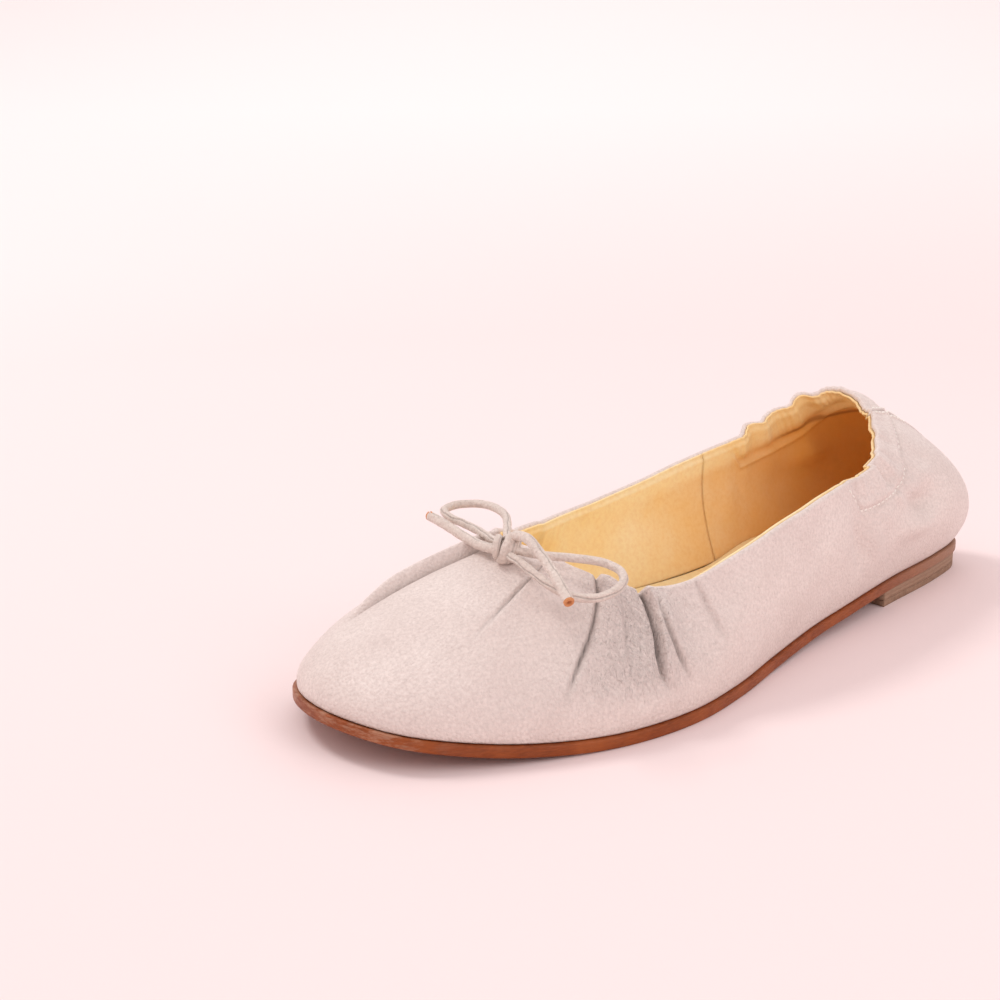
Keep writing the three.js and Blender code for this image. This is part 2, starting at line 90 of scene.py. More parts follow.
# Round the shoe from the centre back along the outer side: sole station and x, topline station,
# x and height, top slope in degrees, bulge and rise of the wall's lower control point.
STATIONS = np.array([
    [7, 0.5, 45, -2, 55.5, 16, 14, 20],
    [12, 12, 54, 8, 53, 20, 14, 20],
    [31, 18, 65, 17.5, 48.5, 34, 14, 18],
    [58, 22.5, 77, 24, 45.5, 56, 9, 17],
    [82, 26.5, 90, 28, 45, 76, 6, 17],
    [105, 30, 105, 31.5, 43.5, 88, 5.5, 16],
    [128, 35.5, 125, 34.5, 41, 84, 5, 15],
    [150, 42, 147, 36, 36.5, 78, 4.5, 13],
    [170, 46, 165, 34, 32.5, 66, 4, 13],
    [190, 45.5, 177, 28.5, 33, 48, 3.5, 13],
    [210, 40.5, 183, 21, 35.5, 32, 2.5, 13],
    [230, 32, 187, 13, 38, 22, 2, 13],
    [246, 20, 188.5, 5.5, 40, 16, 2, 13],
    [252.5, 2.5, 189, -1.5, 40.5, 14, 2, 13],
    [250, -15, 188.5, -7.5, 40, 15, 2, 13],
    [240, -29, 186.5, -14, 38.5, 20, 2, 13],
    [222, -36.5, 182, -21, 36.5, 30, 2.5, 13],
    [200, -39, 174.5, -27, 34, 45, 3, 13],
    [179, -38, 163, -31.5, 32.5, 62, 3.5, 14],
    [156, -33.5, 147, -32.5, 33, 76, 4, 15],
    [131, -26, 126, -31.5, 36, 82, 6, 16],
    [105, -22, 103.5, -29, 41, 84, 7, 17],
    [78, -23, 81, -27, 46, 80, 6, 18],
    [50, -22.5, 65, -26, 51, 66, 9, 20],
    [25.5, -18.5, 51, -21.5, 57, 40, 12, 20],
    [11.5, -11, 43.5, -12.5, 59, 22, 13, 20],
])
SOLE_S, SOLE_X, TOP_S, TOP_X, TOP_Z, SLOPE, BULGE, RISE = range(8)

FLOOR = {"outsole": (0, OUTSOLE), "margin": (OUTSOLE + GAP, OUTSOLE + GAP + LEATHER)}
FLOOR["board"] = (FLOOR["margin"][1] + GAP, FLOOR["margin"][1] + GAP + INSOLE_BOARD)
FLOOR["sock"] = (FLOOR["board"][1] + GAP, FLOOR["board"][1] + GAP + SOCK)

# ---- The last's curves -------------------------------------------------------------------------


def smooth(low, high, x):
    t = np.clip((x - low) / (high - low), 0, 1)
    return t * t * (3 - 2 * t)


def on_loop(columns, u):
    """A closed Catmull-Rom curve through columns of the stations, and its slope."""
    count = len(STATIONS)
    t = (np.asarray(u, float) % 1) * count
    i = np.floor(t).astype(int)
    f = (t - i)[..., None]
    a, b, c, d = (STATIONS[:, columns][(i + k) % count] for k in (-1, 0, 1, 2))
    c3 = 0.5 * (3 * (b - c) + d - a)
    c2 = 0.5 * (2 * a - 5 * b + 4 * c - d)
    c1 = 0.5 * (c - a)
    return ((c3 * f + c2) * f + c1) * f + b, (3 * c3 * f + 2 * c2) * f + c1


def along(station):
    return SOLE_LENGTH / 2 - station


def underside(station):
    seat = SEAT_HEIGHT - SEAT_DROP * np.maximum(station, 0) / BREAST
    arch = 1 - smooth(ARCH_BACK, TREAD_BACK, station)
    spring = np.maximum(0, (station - TREAD_FRONT) / (SOLE_LENGTH - TREAD_FRONT))
    return seat * arch + TOE_SPRING * spring**2


def sole_edge(u, inset):
    """The sole's outline, moved in by inset, and its outward normal."""
    value, slope = on_loop([SOLE_X, SOLE_S], u)
    point = np.stack([value[..., 0], along(value[..., 1])], -1)
    normal = np.stack([slope[..., 1], slope[..., 0]], -1)
    normal /= np.linalg.norm(normal, axis=-1, keepdims=True)
    return point - normal * inset, normal


def unit(v):
    return v / np.linalg.norm(v, axis=-1, keepdims=True)


def wall(u, v):
    """The outside of the upper. v climbs from the sole's edge (0) to the topline (1)."""
    u, v = np.broadcast_arrays(np.asarray(u, float), np.asarray(v, float))
    edge, normal = sole_edge(u, WELT)
    out = np.concatenate([normal, np.zeros(u.shape + (1,))], -1)
    up = np.array([0, 0, 1.0])
    height = underside(SOLE_LENGTH / 2 - edge[..., 1]) + FLOOR["margin"][0]
    foot = np.concatenate([edge, height[..., None]], -1)
    top = on_loop([TOP_X, TOP_S, TOP_Z], u)[0]
    top = np.stack([top[..., 0], along(top[..., 1]), top[..., 2]], -1)
    slope, bulge, rise = np.moveaxis(on_loop([SLOPE, BULGE, RISE], u)[0], -1, 0)[..., None]
    lean = unit((foot - top) * (1, 1, 0) + out * LEAN_OUT)
    reach = TOP_HANDLE * np.linalg.norm(foot - top, axis=-1, keepdims=True)
    low = foot + out * bulge + up * rise
    high = top + lean * reach * np.cos(np.radians(slope)) - up * reach * np.sin(np.radians(slope))
    w = v[..., None]
    return (1 - w) ** 3 * foot + 3 * (1 - w) ** 2 * w * low + 3 * (1 - w) * w**2 * high + w**3 * top


# ---- Relief: pleats, gathers, seams and dents ---------------------------------------------------

# The stitches of the elastic's casing as (turns from the centre back, v), the same on both sides.
CASING = [(0.0, 0.87), (0.045, 0.865), (0.068, 0.83), (0.076, 0.785), (0.091, 0.755), (0.104, 0.733),
          (0.137, 0.72), (0.149, 0.735), (0.1535, 0.86), (0.162, 0.985)]
CASING_END = 0.155
BACK_SEAM = [(0.014, 1.0), (0.008, 0.86), (0.004, 0.72), (0.002, 0.40), (0.0, 0.03)]

# Puckers of the casing as (u, height, half width round, lift of the rim), in turns and mm.
PUFFS = [
    (0.020, 0.8, 4.8, 0.1),
    (0.052, 1.2, 4.4, 0.2),
    (0.0745, 1.2, 3.2, 0.1),
    (0.0910, 2.4, 3.2, 0.6),
    (0.1150, 2.7, 3.6, 0.6),
    (0.1360, 1.7, 3.4, 0.2),
    (-0.022, 0.8, 4.6, 0.1),
    (-0.055, 1.1, 4.8, 0.4),
    (-0.083, 1.8, 3.4, 0.8),
    (-0.108, 1.3, 4.6, 0.3),
    (-0.133, 1.9, 3.2, 0.9),
]


def turn(u, centre):
    """Signed distance round the shoe, in turns."""
    return (u - centre + 0.5) % 1 - 0.5


TURNS = np.linspace(-0.5, 0.5, 1001)
TOPLINE = on_loop([TOP_X, TOP_S, TOP_Z], TURNS)[0]
ARC = np.concatenate([[0], np.cumsum(np.linalg.norm(np.diff(TOPLINE, axis=0), axis=1))])
ARC -= ARC[500]  # the centre back


def arc(u):
    """Millimetres along the topline from the centre back."""
    return np.interp(turn(u, 0), TURNS, ARC)


def at_height(path, v):
    """u of a path given as (u, v) points, by height: a smooth curve through or near them."""
    us, vs = zip(*path)
    curve = np.polyfit(vs, us, min(len(path) - 1, 3))
    return np.polyval(curve, np.clip(v, min(vs), max(vs)))


def span(v, low, high, soft):
    return smooth(low - soft, low + soft, v) * (1 - smooth(high - soft, high + soft, v))


# (path as (u, v), groove depth, groove half width, ridge height, ridge half width, side of the
# ridge: +1 towards the toe on the outer half of the shoe, ends in v, softness of the ends)
PLEATS = [
    ([(0.440, 0.97), (0.4463, 0.75), (0.4510, 0.54)], 1.5, 0.7, 1.3, 3.0, -1, 0.62, 0.97, 0.14),
    ([(0.386, 1.02), (0.3819, 0.77), (0.385, 0.544), (0.3887, 0.25)],
     2.0, 0.65, 1.3, 3.2, -1, 0.36, 1.10, 0.16),
    ([(0.3425, 1.02), (0.3366, 0.74), (0.3359, 0.444), (0.330, 0.20)],
     2.8, 0.75, 2.4, 2.1, -1, 0.36, 1.10, 0.18),
    ([(0.331, 0.90), (0.3287, 0.631), (0.3231, 0.438), (0.3165, 0.22)],
     1.1, 0.7, 1.7, 1.9, -1, 0.36, 0.86, 0.16),
    ([(0.362, 1.00), (0.360, 0.70), (0.356, 0.40)], 0.35, 0.8, 1.1, 3.0, 1, 0.46, 1.05, 0.18),
    ([(0.300, 1.00), (0.294, 0.70), (0.286, 0.40)], 0.45, 1.0, 0.7, 2.4, -1, 0.50, 1.00, 0.18),
    ([(0.530, 1.02), (0.540, 0.88), (0.547, 0.75), (0.549, 0.62), (0.549, 0.44)],
     2.6, 0.8, 3.3, 1.9, 1, 0.50, 1.04, 0.14),
    ([(0.602, 1.02), (0.612, 0.70), (0.616, 0.36)], 1.3, 0.7, 1.2, 2.4, 1, 0.42, 1.10, 0.16),
    ([(0.655, 1.02), (0.664, 0.70), (0.676, 0.25)], 2.0, 0.9, 1.8, 2.4, 1, 0.36, 1.10, 0.20),
    ([(0.686, 1.00), (0.694, 0.70), (0.706, 0.36)], 0.7, 0.8, 1.1, 2.2, -1, 0.44, 0.98, 0.18),
    ([(0.715, 1.00), (0.720, 0.70), (0.728, 0.45)], 0.4, 0.9, 0.6, 2.4, -1, 0.52, 1.00, 0.18),
]

# Soft dents and swells: (u, v, height, half width round, half width up), in turns, share, mm.
DENTS = [
    (0.0905, 0.545, -3.6, 6.5, 4.4),
    (0.104, 0.36, 1.8, 8.5, 3.6),
    (0.070, 0.66, 0.9, 6.0, 3.6),
    (0.1065, 0.66, 1.5, 2.6, 4.0),
    (0.158, 0.50, -1.9, 3.4, 9.0),
    (0.143, 0.44, 0.9, 3.6, 8.0),
    (0.185, 0.60, 0.6, 8.0, 9.0),
    (0.905, 0.56, -2.0, 8.0, 5.0),
    (0.880, 0.42, 0.9, 8.0, 5.0),
    (0.840, 0.52, -1.1, 4.0, 10.0),
    (0.420, 0.80, 0.8, 7.0, 8.0),
    (0.500, 0.80, -0.4, 9.0, 7.0),
]


def pleat(u, v, scale, row):
    """A fold of the gathered leather: a sharp groove with a rounded ridge on one side."""
    path, groove, groove_width, ridge, ridge_width, side, low, high, soft = row
    x = turn(u, at_height(path, v)) * scale * side
    crest = 1.5 * groove_width
    far = np.where(x > crest, 1.9, 0.55) * ridge_width
    shape = ridge * np.exp(-(((x - crest) / far) ** 2)) - groove * np.exp(-((x / groove_width) ** 2))
    return shape * span(v, low, high, soft)


def gathers(u, v):
    """Puckers of the heel's elastic casing, sharp at the rim and fading below its stitches."""
    at = arc(u)
    total = -0.5 * near_casing(u)
    for centre, height, width, _ in PUFFS:
        drift = (1 - v) * 7 * math.sin(70 * centre)
        x = (at - arc(centre) - drift) / width
        total = total + height * (np.exp(-(x**2)) - 0.3 * np.exp(-(((np.abs(x) - 1.6) / 0.55) ** 2)))
    fine = 0.12 * np.sin(at * 2.3 + 3 * np.sin(at * 0.37) + 8 * v) * near_casing(u)
    low = casing_v(u)
    casing = smooth(low - 0.03, low + 0.16, v)
    tails = 0.35 * span(v, low - 0.20, low, 0.10)
    return (total + fine) * casing + total * tails


def near_casing(u):
    return 1 - smooth(CASING_END, CASING_END + 0.02, np.abs(turn(u, 0)))


def crinkled(u, v):
    """0 to 1 where the leather is finely wrinkled: between and beside the deep pleats. It also sets
    where the fine folds get painted shade.
    """
    total = 0
    for centre, width in ((0.350, 0.045), (0.660, 0.055)):
        total = total + np.exp(-((turn(u, centre) / width) ** 2)) * span(v, 0.22, 1.05, 0.16)
    return np.clip(total, 0, 1)


def wrinkles(u, v):
    """Creases finer than the pleats, running down from the topline."""
    wave = np.sin(u * 1500 + 4 * np.sin(v * 7 + u * 60)) * np.sin(u * 610 + 6 * v + 2)
    return 0.22 * crinkled(u, v) * wave


def seam(u, v, scale):
    """The centre-back seam: a groove between two low swells, down from the casing."""
    x = turn(u, at_height(BACK_SEAM, v)) * scale
    shape = 0.6 * np.exp(-(((np.abs(x) - 1.4) / 0.9) ** 2)) - 0.8 * np.exp(-((x / 0.5) ** 2))
    return shape * span(v, 0.03, 1.2, 0.03)


def stitch_line(u, v, up_scale):
    """The valley that the casing's stitches pull into the leather."""
    inside = 1 - smooth(CASING_END - 0.006, CASING_END + 0.004, np.abs(turn(u, 0)))
    y = (v - casing_v(u)) * up_scale
    return (0.6 * np.exp(-(((y - 2.2) / 1.6) ** 2)) - 0.7 * np.exp(-((y / 0.7) ** 2))) * inside


def casing_v(u):
    """Height of the casing's stitches."""
    away, level = zip(*CASING)
    return np.interp(np.abs(turn(u, 0)), away, level)


def relief(u, v, scale, up_scale):
    """How far the wall stands out from its smooth shape, in millimetres."""
    total = gathers(u, v) + seam(u, v, scale) + wrinkles(u, v)
    total = total + stitch_line(u, v, up_scale)
    for row in PLEATS:
        total = total + pleat(u, v, scale, row)
    for centre, level, height, wide, tall in DENTS:
        x = turn(u, centre) * scale / wide
        y = (v - level) * up_scale / tall
        total = total + height * np.exp(-(x**2 + y**2))
    sway = 0.22 * np.sin(u * 61 + 3 * v) * np.sin(v * 7 + u * 23) + 0.10 * np.sin(u * 170 + 9 * v)
    return (total + sway) * smooth(0.0, 0.16, v)


def lift(u, v):
    """How far the topline rises and dips, in millimetres."""
    at = arc(u)
    total = -0.4 * near_casing(u)
    for centre, _, width, rise in PUFFS:
        total = total + rise * np.exp(-(((at - arc(centre)) / width) ** 2))
    for path, groove, *_ in PLEATS:
        x = at - arc(at_height(path, 1.0))
        total = total - 0.35 * groove * np.exp(-((x / 1.6) ** 2))
    return total * smooth(0.86, 1.0, v)


STEP = 1e-3


def skin(u, v, depth):
    """A point of the wall's layers, depth millimetres in from the leather's outside."""
    u, v, depth = np.broadcast_arrays(*(np.asarray(x, float) for x in (u, v, depth)))
    du = (wall(u + STEP, v) - wall(u - STEP, v)) / (2 * STEP)
    dv = (wall(u, v + STEP) - wall(u, v - STEP)) / (2 * STEP)
    inward = unit(np.cross(du, dv))
    scale = np.linalg.norm(du, axis=-1)
    up_scale = np.linalg.norm(dv, axis=-1)
    out = relief(u, v, scale, up_scale)
    raised = lift(u, v)[..., None] * unit(dv)
    return wall(u, v) + inward * (depth - out)[..., None] + raised, inward, unit(dv)


# ---- Meshes ------------------------------------------------------------------------------------

OUTLINE = sole_edge(np.linspace(0, 1, 2000), 0)[0]
SOLE_BOXES = [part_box("outsole_forepart"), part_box("outsole_rearpart")]
SOLE_LOW = np.min([low for low, _ in SOLE_BOXES], axis=0)
SOLE_HIGH = np.max([high for _, high in SOLE_BOXES], axis=0)
SHIFT = (SOLE_LOW + SOLE_HIGH) / 2
SHIFT[:2] -= (OUTLINE.min(0) + OUTLINE.max(0)) / 2 * MM
SHIFT[2] = 0  # the stations' ground is the frame's ground

FOREFOOT, REARFOOT, BOTH = "forefoot", "rearfoot", "both"


def placed(points):
    """Points of the stations' own frame, in millimetres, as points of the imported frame."""
    return np.asarray(points, float).reshape(-1, 3) * MM + SHIFT


def piece(name, points, faces, material, paint=None, merge=0.0, zone=None):
    """A smooth mesh object. paint and zone hold one number a point each, kept as attributes."""
    mesh = bpy.data.meshes.new(name)
    where = placed(points)
    mesh.from_pydata(where.tolist(), [], faces)
    rest = mesh.attributes.new("rest", "FLOAT_VECTOR", "POINT")
    rest.data.foreach_set("vector", where.astype(np.float32).ravel())
    # paint holds painted shade in creases and grooves, the lining's stitch line and the sole's scuffs;
    # zone holds painted shade in the fine folds and the lining's heel, and the sole's browner heel.
    for key, given in (("mark_and_shade", paint), ("zone", zone)):
        values = np.zeros(len(where)) if given is None else np.asarray(given, float).ravel()
        attribute = mesh.attributes.new(key, "FLOAT", "POINT")
        attribute.data.foreach_set("value", values.astype(np.float32))
    if merge:
        work = bmesh.new()
        work.from_mesh(mesh)
        bmesh.ops.remove_doubles(work, verts=work.verts, dist=merge)
        bmesh.ops.recalc_face_normals(work, faces=work.faces)
        work.to_mesh(mesh)
        work.free()
    mesh.polygons.foreach_set("use_smooth", [True] * len(mesh.polygons))
    mesh.materials.append(material)
    return add(name, mesh)


def add(name, data):
    obj = bpy.data.objects.new(name, data)
    bpy.context.scene.collection.objects.link(obj)
    return obj


def net(rows, columns, close_rows, close_columns, flip=False, base=0):
    """Quads of a grid of rows by columns, whose ends may close on themselves."""
    i = np.arange(rows if close_rows else rows - 1)
    j = np.arange(columns if close_columns else columns - 1)
    i, j = (x.ravel() for x in np.meshgrid(i, j, indexing="ij"))
    i2, j2 = (i + 1) % rows, (j + 1) % columns
    quads = [i * columns + j, i2 * columns + j, i2 * columns + j2, i * columns + j2]
    quads = base + np.stack(quads, -1)
    return (quads[:, ::-1] if flip else quads).tolist()


def fit(obj, body, slot, *nodes):
    """Puts a piece on its body, or on both, and hides the CAD nodes it stands for; its slot is not
    used.
    """
    if body == BOTH:
        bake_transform(obj)
    else:
        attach(obj, body)
    if nodes:
        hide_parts(*nodes)


# Where columns of the wall stand closer: (centre, half width, how much denser), in turns.
DENSER = [(0.32, 0.05, 1.3), (0.55, 0.03, 1.2), (0.67, 0.05, 0.8), (0.0, 0.2, 0.8)]


def spread(count, low=0.0, high=1.0):
    """Values of u, closer together at the pleats and the gathers."""
    fine = np.linspace(low, high, 4001)
    dense = np.full(fine.shape, 1.0)
    for centre, width, extra in DENSER:
        dense += extra * np.exp(-((turn(fine, centre) / width) ** 2))
    total = np.concatenate([[0], np.cumsum((dense[1:] + dense[:-1]) / 2)])
    return np.interp(np.linspace(0, total[-1], count), total, fine)


RIM_STEPS = 8
SAME_POINT = 1e-7  # metres


def rim(middle, inward, upward, radius, steps):
    """Points of a half circle over the wall's edge, between its ends."""
    turns = np.linspace(0, np.pi, steps)[1:-1]
    return [middle - inward * radius * math.cos(t) + upward * radius * math.sin(t) for t in turns]


def wall_profile(u, v_low, v_high, outer, inner, rows):
    """Closed loops round a layer of the wall, one for each u: up its outside, over its top edge,
    down its inside and under its lower edge. outer and inner are depths, as functions of v."""
    vs = np.linspace(v_low, v_high, rows)
    outside, _, _ = skin(u[:, None], vs[None], outer(vs)[None])
    inside, _, _ = skin(u[:, None], vs[None], inner(vs)[None])
    caps = []
    for level, sign in ((v_high, 1), (v_low, -1)):
        a, b = outer(np.array([level]))[0], inner(np.array([level]))[0]
        middle, inward, upward = skin(u, level, (a + b) / 2)
        caps.append(np.stack(rim(middle, inward, sign * upward, (b - a) / 2, RIM_STEPS + 1), 1))
    over, under = caps
    loop = np.concatenate([outside, over, inside[:, ::-1], under[:, ::-1]], 1)
    edge = np.ones(RIM_STEPS - 1)
    return loop, np.concatenate([vs, edge * v_high, vs[::-1], edge * v_low])


def wall_piece(name, material, u_span, v_span, outer, inner, columns, rows, paint=None, zone=None):
    """A layer of the wall as one closed body, all round the shoe or between two values of u."""
    us = spread(columns, *u_span)
    loop, level = wall_profile(us, *v_span, outer, inner, rows)
    count = loop.shape[1]
    faces = net(len(us), count, False, True) + strip_ends(len(us), count, rows)
    u, v = np.broadcast_arrays(us[:, None], level[None])
    shading_and_marks, zones = (None if given is None else given(u, v) for given in (paint, zone))
    return piece(name, loop, faces, material, shading_and_marks, merge=SAME_POINT, zone=zones)


def strip_ends(columns, count, rows):
    """Quads that close the first and last loop of an open layer, between its two sides."""
    faces = []
    caps = RIM_STEPS - 1
    high = 2 * rows + caps - 1
    for base, step in ((0, 1), ((columns - 1) * count, -1)):
        for k in range(rows - 1):
            quad = [base + k, base + k + 1, base + high - k - 1, base + high - k]
            faces.append(quad[::step])
        faces.append([base + rows - 1 + k for k in range(caps + 2)][::step])
        faces.append([base + (high + k) % count for k in range(caps + 2)][::step])
    return faces


def constant(depth):
    return lambda v: np.full(np.shape(v), float(depth))


# ---- Slabs: the sole, the heel and the boards ---------------------------------------------------


def ring_normals(ring):
    after, before = np.roll(ring, -1, 0), np.roll(ring, 1, 0)
    tangent = unit(after - before + 1e-12)
    return np.stack([tangent[:, 1], -tangent[:, 0]], -1)


ACROSS = 20
SLAB_MERGE = 2e-6  # metres
MEETING = 0.5  # sides whose ends are closer than this, in millimetres, meet there
# Angles of the bevel under and over an edge. The second pair is for a piece with a cut back.
ROUND_EDGE = (np.linspace(0, np.pi / 2, 4), np.linspace(np.pi / 2, np.pi, 4))
SOFT_EDGE = np.split(np.linspace(0, np.pi, 9), [4])


def slab(name, material, sides, low, high, bevel, across=ACROSS, cut_back=False):
    """A flat piece between two heights. sides are its right and left as (x, y) from the back to
    the front, where they may meet; low and high give its faces' heights by station. cut_back
    says that its back is a straight end as well."""
    right, left = sides
    n = len(right)
    open_front = np.linalg.norm(right[-1] - left[-1]) > MEETING
    steps = np.linspace(0, 1, across + 1)
    inner_steps = steps[1:-1, None]
    parts = [right]
    if open_front:
        parts.append(right[-1] + (left[-1] - right[-1]) * inner_steps)
    parts.append(left[::-1][0 if open_front else 1:None if cut_back else -1])
    if cut_back:
        parts.append(left[0] + (right[0] - left[0]) * inner_steps)
    ring = np.concatenate(parts)
    normal = ring_normals(ring)
    if ((ring - ring.mean(0)) * normal).sum() < 0:
        normal = -normal

    def level(face, xy):
        return face(SOLE_LENGTH / 2 - xy[:, 1])

    under, over = SOFT_EDGE if cut_back else ROUND_EDGE
    rings = []
    for face, sign, angles in ((low, 1, under), (high, -1, over)):
        for angle in angles:
            xy = ring - normal * bevel * (1 - math.sin(angle))
            rise = sign * bevel * (1 - abs(math.cos(angle)))
            rings.append(np.column_stack([xy, level(face, xy) + rise]))
    count = len(ring)
    points = [np.concatenate(rings)]
    faces = net(len(rings), count, False, True)
    inner = ring - normal * bevel
    at_left = n + (across - 1 if open_front else -1) + n - 1 - np.arange(n)
    at_left[0] = at_left[0] if cut_back else 0
    at_left[-1] = at_left[-1] if open_front else n - 1
    flat = inner[:n, None] + (inner[at_left] - inner[:n])[:, None] * steps[None, :, None]
    flat = flat.reshape(-1, 2)
    base = len(rings) * count
    for face, flip in ((low, False), (high, True)):
        points.append(np.column_stack([flat, level(face, flat)]))
        faces += net(n, across + 1, False, False, flip, base)
        base += len(flat)
    return piece(name, np.concatenate(points), faces, material, merge=SLAB_MERGE)


BEYOND = SOLE_LENGTH * 2  # a station past the toe: the side is not cut
BOARD_REACH = 0.6  # the boards meet the wall below this v
HALVINGS = 24


def two_sides(steps):
    """u along the right and the left side, from the back to the front, finer at the ends."""
    u = 0.5 - 0.5 * np.cos(np.linspace(0, np.pi, steps))
    return u / 2, 1 - u / 2


def halves(inset, start=0.0, stop=BEYOND, steps=260):
    """The right and left sides of the sole's outline between two stations."""
    sides = []
    for values in two_sides(steps):
        side = sole_edge(values, inset)[0]
        station = SOLE_LENGTH / 2 - side[:, 1]
        inside = side[(station >= start) & (station <= stop)]
        for limit, end in ((start, 0), (stop, -1)):
            if station.min() < limit < station.max():
                order = np.argsort(station)
                x = np.interp(limit, station[order], side[order, 0])
                inside = np.insert(inside, 0 if end == 0 else len(inside), [x, along(limit)], 0)
        sides.append(inside)
    if start > 0 or stop < SOLE_LENGTH:
        sides = [resample(side, steps // 2) for side in sides]
    return sides


def resample(side, count):
    length = np.concatenate([[0], np.cumsum(np.linalg.norm(np.diff(side, axis=0), axis=1))])
    t = np.linspace(0, length[-1], count)
    return np.stack([np.interp(t, length, side[:, k]) for k in (0, 1)], -1)


def above_sole(height):
    return lambda station: underside(station) + height


def inside_wall(height, depth, start=0.0, stop=BEYOND, steps=220):
    """The right and left sides of a board that fills the wall at a height and a depth."""
    sides = []
    for values in two_sides(steps):
        low, high = np.zeros(steps), np.full(steps, BOARD_REACH)
        for _ in range(HALVINGS):
            v = (low + high) / 2
            p = skin(values, v, depth)[0]
            above = p[:, 2] > height(SOLE_LENGTH / 2 - p[:, 1])
            high = np.where(above, v, high)
            low = np.where(above, low, v)
        side = skin(values, low, depth)[0][:, :2]
        station = SOLE_LENGTH / 2 - side[:, 1]
        side = side[(station >= start) & (station <= stop)]
        sides.append(resample(side, steps // 2) if start > 0 or stop < SOLE_LENGTH else side)
    sides[1][0] = sides[0][0]
    if not (start > 0 or stop < SOLE_LENGTH):
        sides[1][-1] = sides[0][-1]
    return sides


# ---- Materials ---------------------------------------------------------------------------------


def linear(red, green, blue):
    """A colour given as 0-255 display values, in the linear numbers that shaders take."""
    values = []
    for c in (red, green, blue):
        x = c / 255
        values.append(x / 12.92 if x <= 0.04045 else ((x + 0.055) / 1.055) ** 2.4)
    return (*values, 1.0)


def dimmed(colour, share):
    return tuple(c * share for c in colour[:3]) + (1,)


class Finish:
    """A node material under construction, with short names for the nodes it uses."""

    def __init__(self, name, roughness, specular=0.5, metallic=0.0, rest=True):
        self.material = bpy.data.materials.new(name)
        self.material.use_nodes = True
        self.nodes = self.material.node_tree.nodes
        self.links = self.material.node_tree.links
        self.shader = self.nodes["Principled BSDF"]
        self.shader.inputs["Roughness"].default_value = roughness
        self.shader.inputs["Specular IOR Level"].default_value = specular
        self.shader.inputs["Metallic"].default_value = metallic
        if rest:
            where = self.nodes.new("ShaderNodeAttribute")
            where.attribute_name = "rest"
            self.where = where.outputs["Vector"]
        else:
            self.where = self.nodes.new("ShaderNodeTexCoord").outputs["Object"]

    def put(self, value, socket):
        if isinstance(value, bpy.types.NodeSocket):
            self.links.new(value, socket)
        else:
            socket.default_value = value

    def texture(self, kind, size, stretch=(1, 1, 1), scale=1.0):
        """A texture on the piece at rest, with features about size metres across."""
        place = self.nodes.new("ShaderNodeMapping")
        place.inputs["Scale"].default_value = tuple(s / size for s in stretch)
        self.links.new(self.where, place.inputs["Vector"])
        node = self.nodes.new(kind)
        node.inputs["Scale"].default_value = scale
        self.links.new(place.outputs["Vector"], node.inputs["Vector"])
        return node

    def noise(self, size, detail=3.0, roughness=0.55, stretch=(1, 1, 1)):
        node = self.texture("ShaderNodeTexNoise", size, stretch)
        node.inputs["Detail"].default_value = detail
        node.inputs["Roughness"].default_value = roughness
        return node.outputs["Fac"]

    def cells(self, size, feature="F1"):
        node = self.texture("ShaderNodeTexVoronoi", size)
        node.feature = feature
        return node.outputs["Distance"]

    def waves(self, size, axis, distortion=0.0):
        """Bands across an axis."""
        node = self.texture("ShaderNodeTexWave", size, scale=2 / math.tau)
        node.wave_type = "BANDS"
        node.bands_direction = axis
        node.inputs["Distortion"].default_value = distortion
        return node.outputs["Fac"]

    def painted(self, key):
        node = self.nodes.new("ShaderNodeAttribute")
        node.attribute_name = key
        return node.outputs["Fac"]

    def between(self, value, low, high, to_low=0.0, to_high=1.0):
        node = self.nodes.new("ShaderNodeMapRange")
        self.put(value, node.inputs["Value"])
        ends = {"From Min": low, "From Max": high, "To Min": to_low, "To Max": to_high}
        for key, number in ends.items():
            node.inputs[key].default_value = number
        return node.outputs["Result"]

    def maths(self, operation, a, b):
        node = self.nodes.new("ShaderNodeMath")
        node.operation = operation
        self.put(a, node.inputs[0])
        self.put(b, node.inputs[1])
        return node.outputs["Value"]

    def mix(self, share, a, b, mode="MIX"):
        node = self.nodes.new("ShaderNodeMix")
        node.data_type = "RGBA"
        node.blend_type = mode
        self.put(share, node.inputs["Factor"])
        self.put(a, node.inputs["A"])
        self.put(b, node.inputs["B"])
        return node.outputs["Result"]

    def fade(self, value, low, high, a, b, most=1.0):
        """From a towards b as value goes from low to high, and at most this share of b."""
        return self.mix(self.between(value, low, high, 0.0, most), a, b)

    def bump(self, *layers):
        """Stacks bumps, each (height, distance in metres, strength)."""
        normal = None
        for height, distance, strength in layers:
            node = self.nodes.new("ShaderNodeBump")
            node.inputs["Distance"].default_value = distance
            node.inputs["Strength"].default_value = strength
            self.put(height, node.inputs["Height"])
            if normal is not None:
                self.links.new(normal, node.inputs["Normal"])
            normal = node.outputs["Normal"]
        self.links.new(normal, self.shader.inputs["Normal"])

    def colour(self, value):
        self.put(value, self.shader.inputs["Base Color"])

    def roughness(self, value):
        self.put(value, self.shader.inputs["Roughness"])


